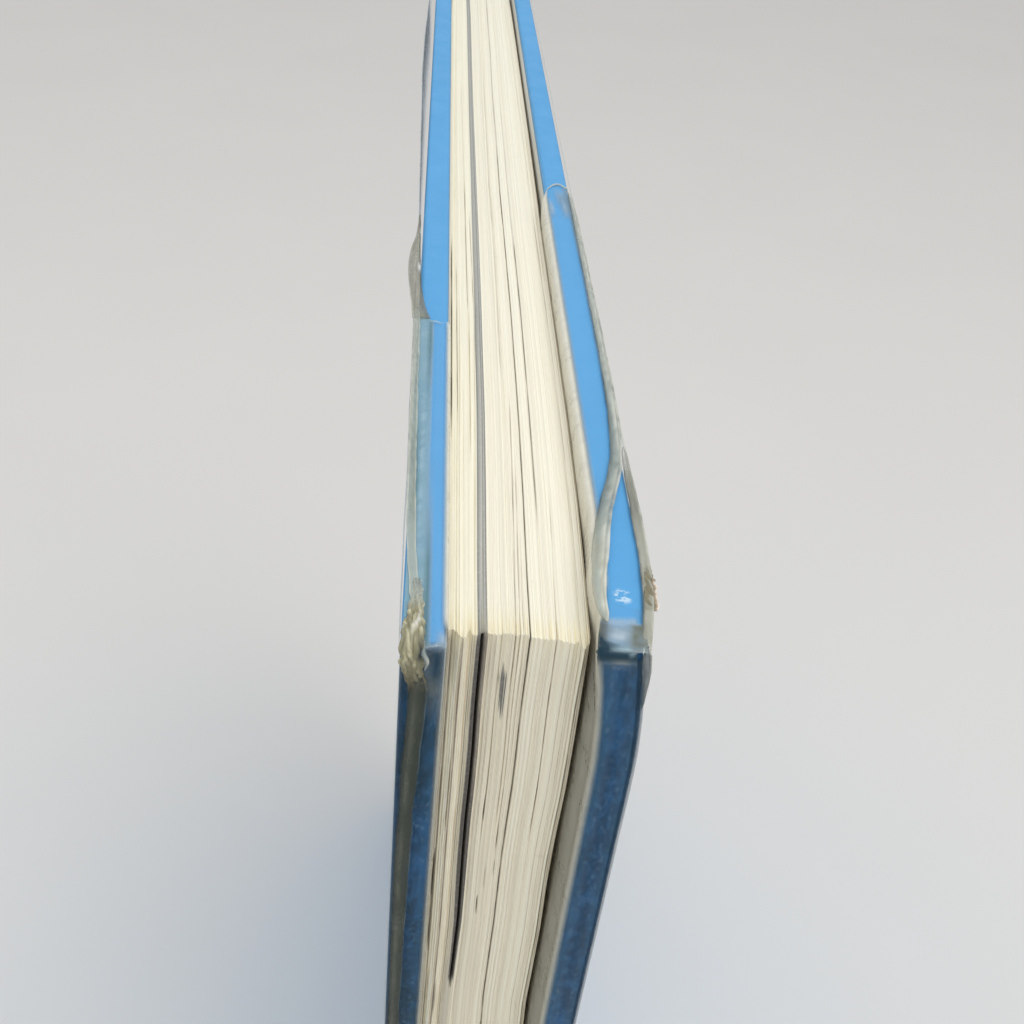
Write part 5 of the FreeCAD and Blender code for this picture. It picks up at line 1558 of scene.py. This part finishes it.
class YEARBOOK_OT_scraps(bpy.types.Operator):
    """Add the torn and crumpled vinyl at the two head corners, and the lifted flap on the front"""

    bl_idname = "yearbook.add_scraps"
    bl_label = "Torn corners"

    def execute(self, context):
        material = bpy.data.materials.get("aged_vinyl") or vinyl_material()
        for name, side, (top, bottom, colours) in (
            ("front_torn_corner", "front", self.crumple()),
            ("front_torn_curl", "front", self.curl()),
            ("back_torn_tab", "back", self.tab()),
            ("front_lifted_flap", "front", self.flap()),
        ):
            points, faces = shell(top, bottom)
            both = np.concatenate([colours.reshape(-1, 4)] * 2)
            piece = make_piece(name, points, faces, material, colours=both, crisp=80)
            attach(piece, f"{side}_cover")
        return {"FINISHED"}

    def round_corner(self, u, length, head_part):
        """x and z of a path that runs along the head, turns the corner and runs down the fore-edge."""
        bend = 0.9
        run = u * length - head_part
        turn = np.clip(run / (bend * np.pi / 2), 0, 1) * np.pi / 2
        down = np.clip(run - bend * np.pi / 2, 0, None)
        x = FORE_X - 0.6 + np.minimum(run, 0) + bend * np.sin(turn)
        z = JACKET_HEAD - 0.7 + bend * np.cos(turn) - down
        return x, z, np.sin(turn), np.cos(turn)

    def crumple(self):
        """Sheet pushed into folds over the corner, from the head over to the fore-edge.

        Its height over the book is a dome, plus two sets of creases that cross it aslant, each with a
        round crest and a sharp trough, as 1 minus twice the square root of the sine's size.
        """
        u, v = np.meshgrid(np.linspace(0, 1, 130), np.linspace(-1, 1, 60), indexing="ij")
        x, z, nx, nz = self.round_corner(u, 12.5, 6.8)
        keys = (0, 0.12, 0.32, 0.48, 0.56, 0.70, 0.82, 0.92, 1)
        centre = np.interp(u, keys, (9.8, 9.75, 9.85, 9.98, 10.0, 9.98, 9.88, 9.58, 9.32))
        half = np.interp(u, keys, (0.26, 0.44, 0.60, 0.80, 0.86, 0.88, 0.82, 0.78, 0.76))
        body = bump(u, 0.58, 0.20)
        phase = u * 4.6 + 0.75 * v + 0.35 * np.sin(2 * np.pi * (0.7 * v + 1.3 * u))
        fold = 1 - 2 * np.sqrt(np.abs(np.sin(np.pi * phase)) + 0.015)
        cross = u * 2.3 - 1.3 * v + 0.3 * np.sin(2 * np.pi * (1.1 * v + 0.5 * u + 0.3))
        second = 1 - 2 * np.sqrt(np.abs(np.sin(np.pi * cross)) + 0.015)
        fine = ripple2(u * 16, v * 2.6, 22, 0.5, 1.6)
        rise = (0.04 + 0.42 * body) * (1 - v**2).clip(0) ** 0.6 + (0.35 + body) * (0.085 * fold + 0.07 * second) + 0.035 * fine
        out = centre + v * half * (1 + 0.12 * ripple(u * 11, 25, 0.9, 2.6)) + 0.05 * second
        x, z = x + nx * rise, z + nz * rise
        grid = place("front", x, out, z)
        normal = grid_normals(grid)
        colours = film(u.shape, (0.50, 0.475, 0.30), 0.70)
        # painted highlight: the crests of the folds are paler, most near the middle of the crumple
        crest = smooth((fold + 0.1) / 0.9) * 0.45 + smooth((second + 0.2) / 0.9) * 0.30 + smooth(fine / 1.3) * 0.25
        colours = painted(colours, (0.84, 0.81, 0.58), 0.84, (crest * (0.55 + 0.75 * bump(u, 0.45, 0.32))).clip(0, 1))
        # painted shade in the troughs of the folds
        trough = (smooth((-0.55 - fold) / 0.35) + smooth((-0.6 - second) / 0.35)).clip(0, 1)
        colours = painted(colours, (0.15, 0.135, 0.08), 0.75, 0.5 * trough)
        # painted shade: a near-black patch in a hollow of the crumple
        hole = bump(u, 0.66, 0.085) * bump(v, -0.72, 0.26)
        colours = painted(colours, (0.02, 0.035, 0.05), 0.97, hole.clip(0, 1))
        pale = smooth((0.34 - u) / 0.2)
        colours = painted(colours, (0.60, 0.66, 0.62), 0.42, 0.8 * pale)
        glint = bump(u, 0.43, 0.11) * bump(v, -0.35 + 0.9 * (u - 0.43) * 4, 0.22)
        colours = painted(colours, (0.88, 0.88, 0.80), 0.92, (0.8 * glint).clip(0, 1))
        # painted shade where the crumple runs down the fore-edge
        low = smooth((u - 0.70) / 0.22)
        colours = painted(colours, (0.14, 0.125, 0.08), 0.70, 0.8 * low)
        ends = smooth(u / 0.15) * smooth((1 - u) / 0.12)
        colours[..., 3] *= 0.2 + 0.8 * ends
        return grid + normal * 0.05, grid - normal * 0.12, colours

    def curl(self):
        """A thin loose end that hangs beside the crumple, rolled along its length."""
        u, v = np.meshgrid(np.linspace(0, 1, 40), np.linspace(0, 1, 18), indexing="ij")
        angle = np.radians(200) * v + 1.6 * u
        radius = 0.20 * (0.7 + 0.5 * np.sin(np.pi * u)) * (1 - 0.35 * v)
        out = 8.98 - 0.10 * u + 0.12 * np.sin(7 * u) + radius * np.cos(angle)
        x = FORE_X + 0.42 - 0.5 * smooth((0.35 - u) / 0.35) + radius * np.sin(angle)
        z = JACKET_HEAD + 0.2 - 2.6 * u
        grid = place("front", x, out, z)
        normal = grid_normals(grid)
        colours = film(u.shape, (0.20, 0.28, 0.32), 0.42)
        colours = painted(colours, (0.66, 0.68, 0.60), 0.8, bump(v, 0.35, 0.22) * (0.3 + 0.7 * bump(u, 0.7, 0.35)))
        return grid + normal * 0.05, grid - normal * 0.05, colours

    def tab(self):
        """A ragged end of the outer sheet, standing out past the back weld near the corner."""
        u, v = np.meshgrid(np.linspace(0, 1, 70), np.linspace(0, 1, 18), indexing="ij")
        x = FORE_X - 10.4 + 5.5 * u
        torn = np.interp(u, (0, 0.2, 0.30, 0.36, 0.42, 0.52, 0.58, 0.80, 0.93, 1), (11.5, 11.62, 11.66, 11.80, 11.72, 11.96, 11.86, 11.94, 12.05, 11.95))
        inner = np.interp(u, (0, 0.6, 1), (10.95, 10.8, 10.9))
        out = inner + (torn + 0.03 * ripple(u * 9, 33, 0.5, 1.6) - inner) * v
        z = JACKET_HEAD + 0.16 + 0.10 * ripple2(u * 4, v * 2, 34, 0.6, 2) - 0.25 * v * smooth((u - 0.6) / 0.4)
        grid = place("back", x, out, z)
        normal = grid_normals(grid)
        colours = film(u.shape, (0.30, 0.27, 0.17), 0.66)
        colours = painted(colours, (0.17, 0.17, 0.12), 0.7, 0.45 * smooth(0.5 + 0.5 * ripple2(u * 4, v * 1.2, 35, 0.5, 1.5)))
        colours = painted(colours, (0.86, 0.78, 0.68), 0.88, smooth((v - 0.84) / 0.1) * smooth((u - 0.35) / 0.1))
        colours = painted(colours, (0.62, 0.45, 0.32), 0.75, 0.7 * smooth((v - 0.70) / 0.15) * (1 - smooth((v - 0.84) / 0.1)))
        colours[..., 3] *= 0.15 + 0.85 * smooth((u - 0.02) / 0.24)
        return grid + normal * 0.06, grid - normal * 0.06, colours

    def flap(self):
        """The outer sheet's head edge lifted and folded over beside the front pocket's mouth."""
        u, v = np.meshgrid(np.linspace(0, 1, 50), np.linspace(0, 1, 16), indexing="ij")
        x = FORE_X - 84 + 30 * u
        inner = np.interp(u, (0, 0.37, 0.52, 0.75, 0.91, 1), (11.34, 11.12, 10.98, 10.72, 10.15, 9.50))
        outer = np.interp(u, (0, 0.2, 0.33, 0.47, 0.6, 0.73, 0.87, 1), (11.5, 11.66, 12.25, 12.5, 12.42, 12.12, 11.82, 11.6))
        for _ in range(4):
            for edge in (inner, outer):
                edge[1:-1] = (edge[:-2] + 2 * edge[1:-1] + edge[2:]) / 4
        out = inner + (outer - inner) * v
        z = JACKET_HEAD + 0.12 + 0.35 * np.sin(np.pi * v) * np.sin(np.pi * u) - 0.5 * v * bump(u, 0.5, 0.3)
        z = z + 0.05 * ripple2(u * 6, v * 2, 44, 0.6, 2)
        grid = place("front", x, out, z)
        normal = grid_normals(grid)
        colours = film(u.shape, (0.26, 0.26, 0.20), 0.55)
        colours = painted(colours, (0.40, 0.40, 0.32), 0.55, 0.7 * smooth(ripple2(u * 7, v * 2, 45, 0.4, 1.5) / 1.2))
        # painted shade along the flap's inner side, over the gap by the board
        dark = smooth((0.16 - v) / 0.1) * smooth((0.9 - u) / 0.2)
        colours = painted(colours, (0.06, 0.08, 0.07), 0.8, 0.8 * dark)
        edge = smooth((v - 0.90) / 0.06)
        colours = painted(colours, (0.56, 0.57, 0.47), 0.72, 0.8 * edge)
        spot = bump(u, 0.56, 0.03) * bump(v, 0.12, 0.12)
        colours = painted(colours, (0.85, 0.90, 0.92), 0.9, spot.clip(0, 1))
        return grid + normal * 0.07, grid - normal * 0.07, colours


class YEARBOOK_OT_stage(bpy.types.Operator):
    """Add the floor, the lights and the camera"""

    bl_idname = "yearbook.add_stage"
    bl_label = "Stage"

    def execute(self, context):
        scene, stage = context.scene, context.scene.yearbook_stage
        material, tree, shader = new_material("floor_paint")
        tone = noise(tree, coordinates(tree), 6, 3.0)
        colour = tuple(stage.floor)
        feed(tree, shader, Roughness=0.9, Specular_IOR_Level=0.15,
             Base_Color=mixed(tree, remap(tree, tone, 0.3, 0.7, 0.0, 0.5), colour, tuple(0.97 * c for c in colour)))
        mesh = bpy.data.meshes.new("floor")
        mesh.from_pydata([(-6, -6, 0), (6, -6, 0), (6, 6, 0), (-6, 6, 0)], [], [(0, 1, 2, 3)])
        mesh.materials.append(material)
        floor = bpy.data.objects.new("floor", mesh)
        scene.collection.objects.link(floor)

        world = bpy.data.worlds.new("studio")
        scene.world = world
        world.use_nodes = True
        background = world.node_tree.nodes["Background"]
        background.inputs["Color"].default_value = (1.0, 1.0, 1.0, 1.0)
        background.inputs["Strength"].default_value = stage.sky
        self.lamp(scene, "key", stage.key, 1.1, (0.60, 0.20, 1.50), (0.05, 0, 0.3))

        camera = bpy.data.cameras.new("camera")
        camera.lens, camera.sensor_width = stage.lens, 36
        camera.clip_start, camera.clip_end = 0.005, 50
        eye = bpy.data.objects.new("camera", camera)
        scene.collection.objects.link(eye)
        right = Vector((0.040303, 0.995242, 0.088711))
        forward = Vector((-0.797468, 0.085532, -0.597268))
        up = right.cross(forward)
        turn = Matrix((right, up, -forward)).transposed().to_4x4()
        eye.matrix_world = Matrix.Translation((0.182256, -0.010264, 0.373292)) @ turn
        scene.camera = eye
        scene.view_settings.view_transform = "Standard"
        return {"FINISHED"}

    def lamp(self, scene, name, power, size, place_at, aim):
        """A square soft light that faces a point."""
        light = bpy.data.lights.new(name, "AREA")
        light.energy, light.size = power, size
        lamp = bpy.data.objects.new(name, light)
        scene.collection.objects.link(lamp)
        lamp.location = place_at
        lamp.rotation_mode = "QUATERNION"
        lamp.rotation_quaternion = (Vector(aim) - Vector(place_at)).to_track_quat("-Z", "Y")


STEPS = ("add_stage", "add_leaves", "add_endpapers", "add_case", "add_bands", "finish_linings", "add_jacket",
         "add_pockets", "add_welds", "add_scraps")


class YEARBOOK_PT_panel(bpy.types.Panel):
    """Lists the book's pieces and their settings"""

    bl_idname = "YEARBOOK_PT_panel"
    bl_label = "Yearbook"
    bl_space_type = "VIEW_3D"
    bl_region_type = "UI"
    bl_category = "Yearbook"

    def draw(self, context):
        column = self.layout.column()
        for step in STEPS:
            column.operator(f"yearbook.{step}")
        for name in GROUPS:
            group = getattr(context.scene, name)
            for key in group.__annotations__:
                column.prop(group, key)


GROUPS = {
    "yearbook_paper": YearbookPaper,
    "yearbook_case": YearbookCase,
    "yearbook_jacket": YearbookJacket,
    "yearbook_stage": YearbookStage,
}
CLASSES = (
    *GROUPS.values(), YEARBOOK_OT_stage, YEARBOOK_OT_leaves, YEARBOOK_OT_endpapers, YEARBOOK_OT_case,
    YEARBOOK_OT_bands, YEARBOOK_OT_linings, YEARBOOK_OT_jacket, YEARBOOK_OT_pockets, YEARBOOK_OT_welds,
    YEARBOOK_OT_scraps, YEARBOOK_PT_panel,
)


def register():
    for cls in CLASSES:
        bpy.utils.register_class(cls)
    for name, cls in GROUPS.items():
        setattr(bpy.types.Scene, name, PointerProperty(type=cls))


def unregister():
    for name in GROUPS:
        delattr(bpy.types.Scene, name)
    for cls in reversed(CLASSES):
        bpy.utils.unregister_class(cls)


def main():
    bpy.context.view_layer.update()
    register()
    for step in STEPS:
        getattr(bpy.ops.yearbook, step)()


if __name__ == "__main__":
    main()
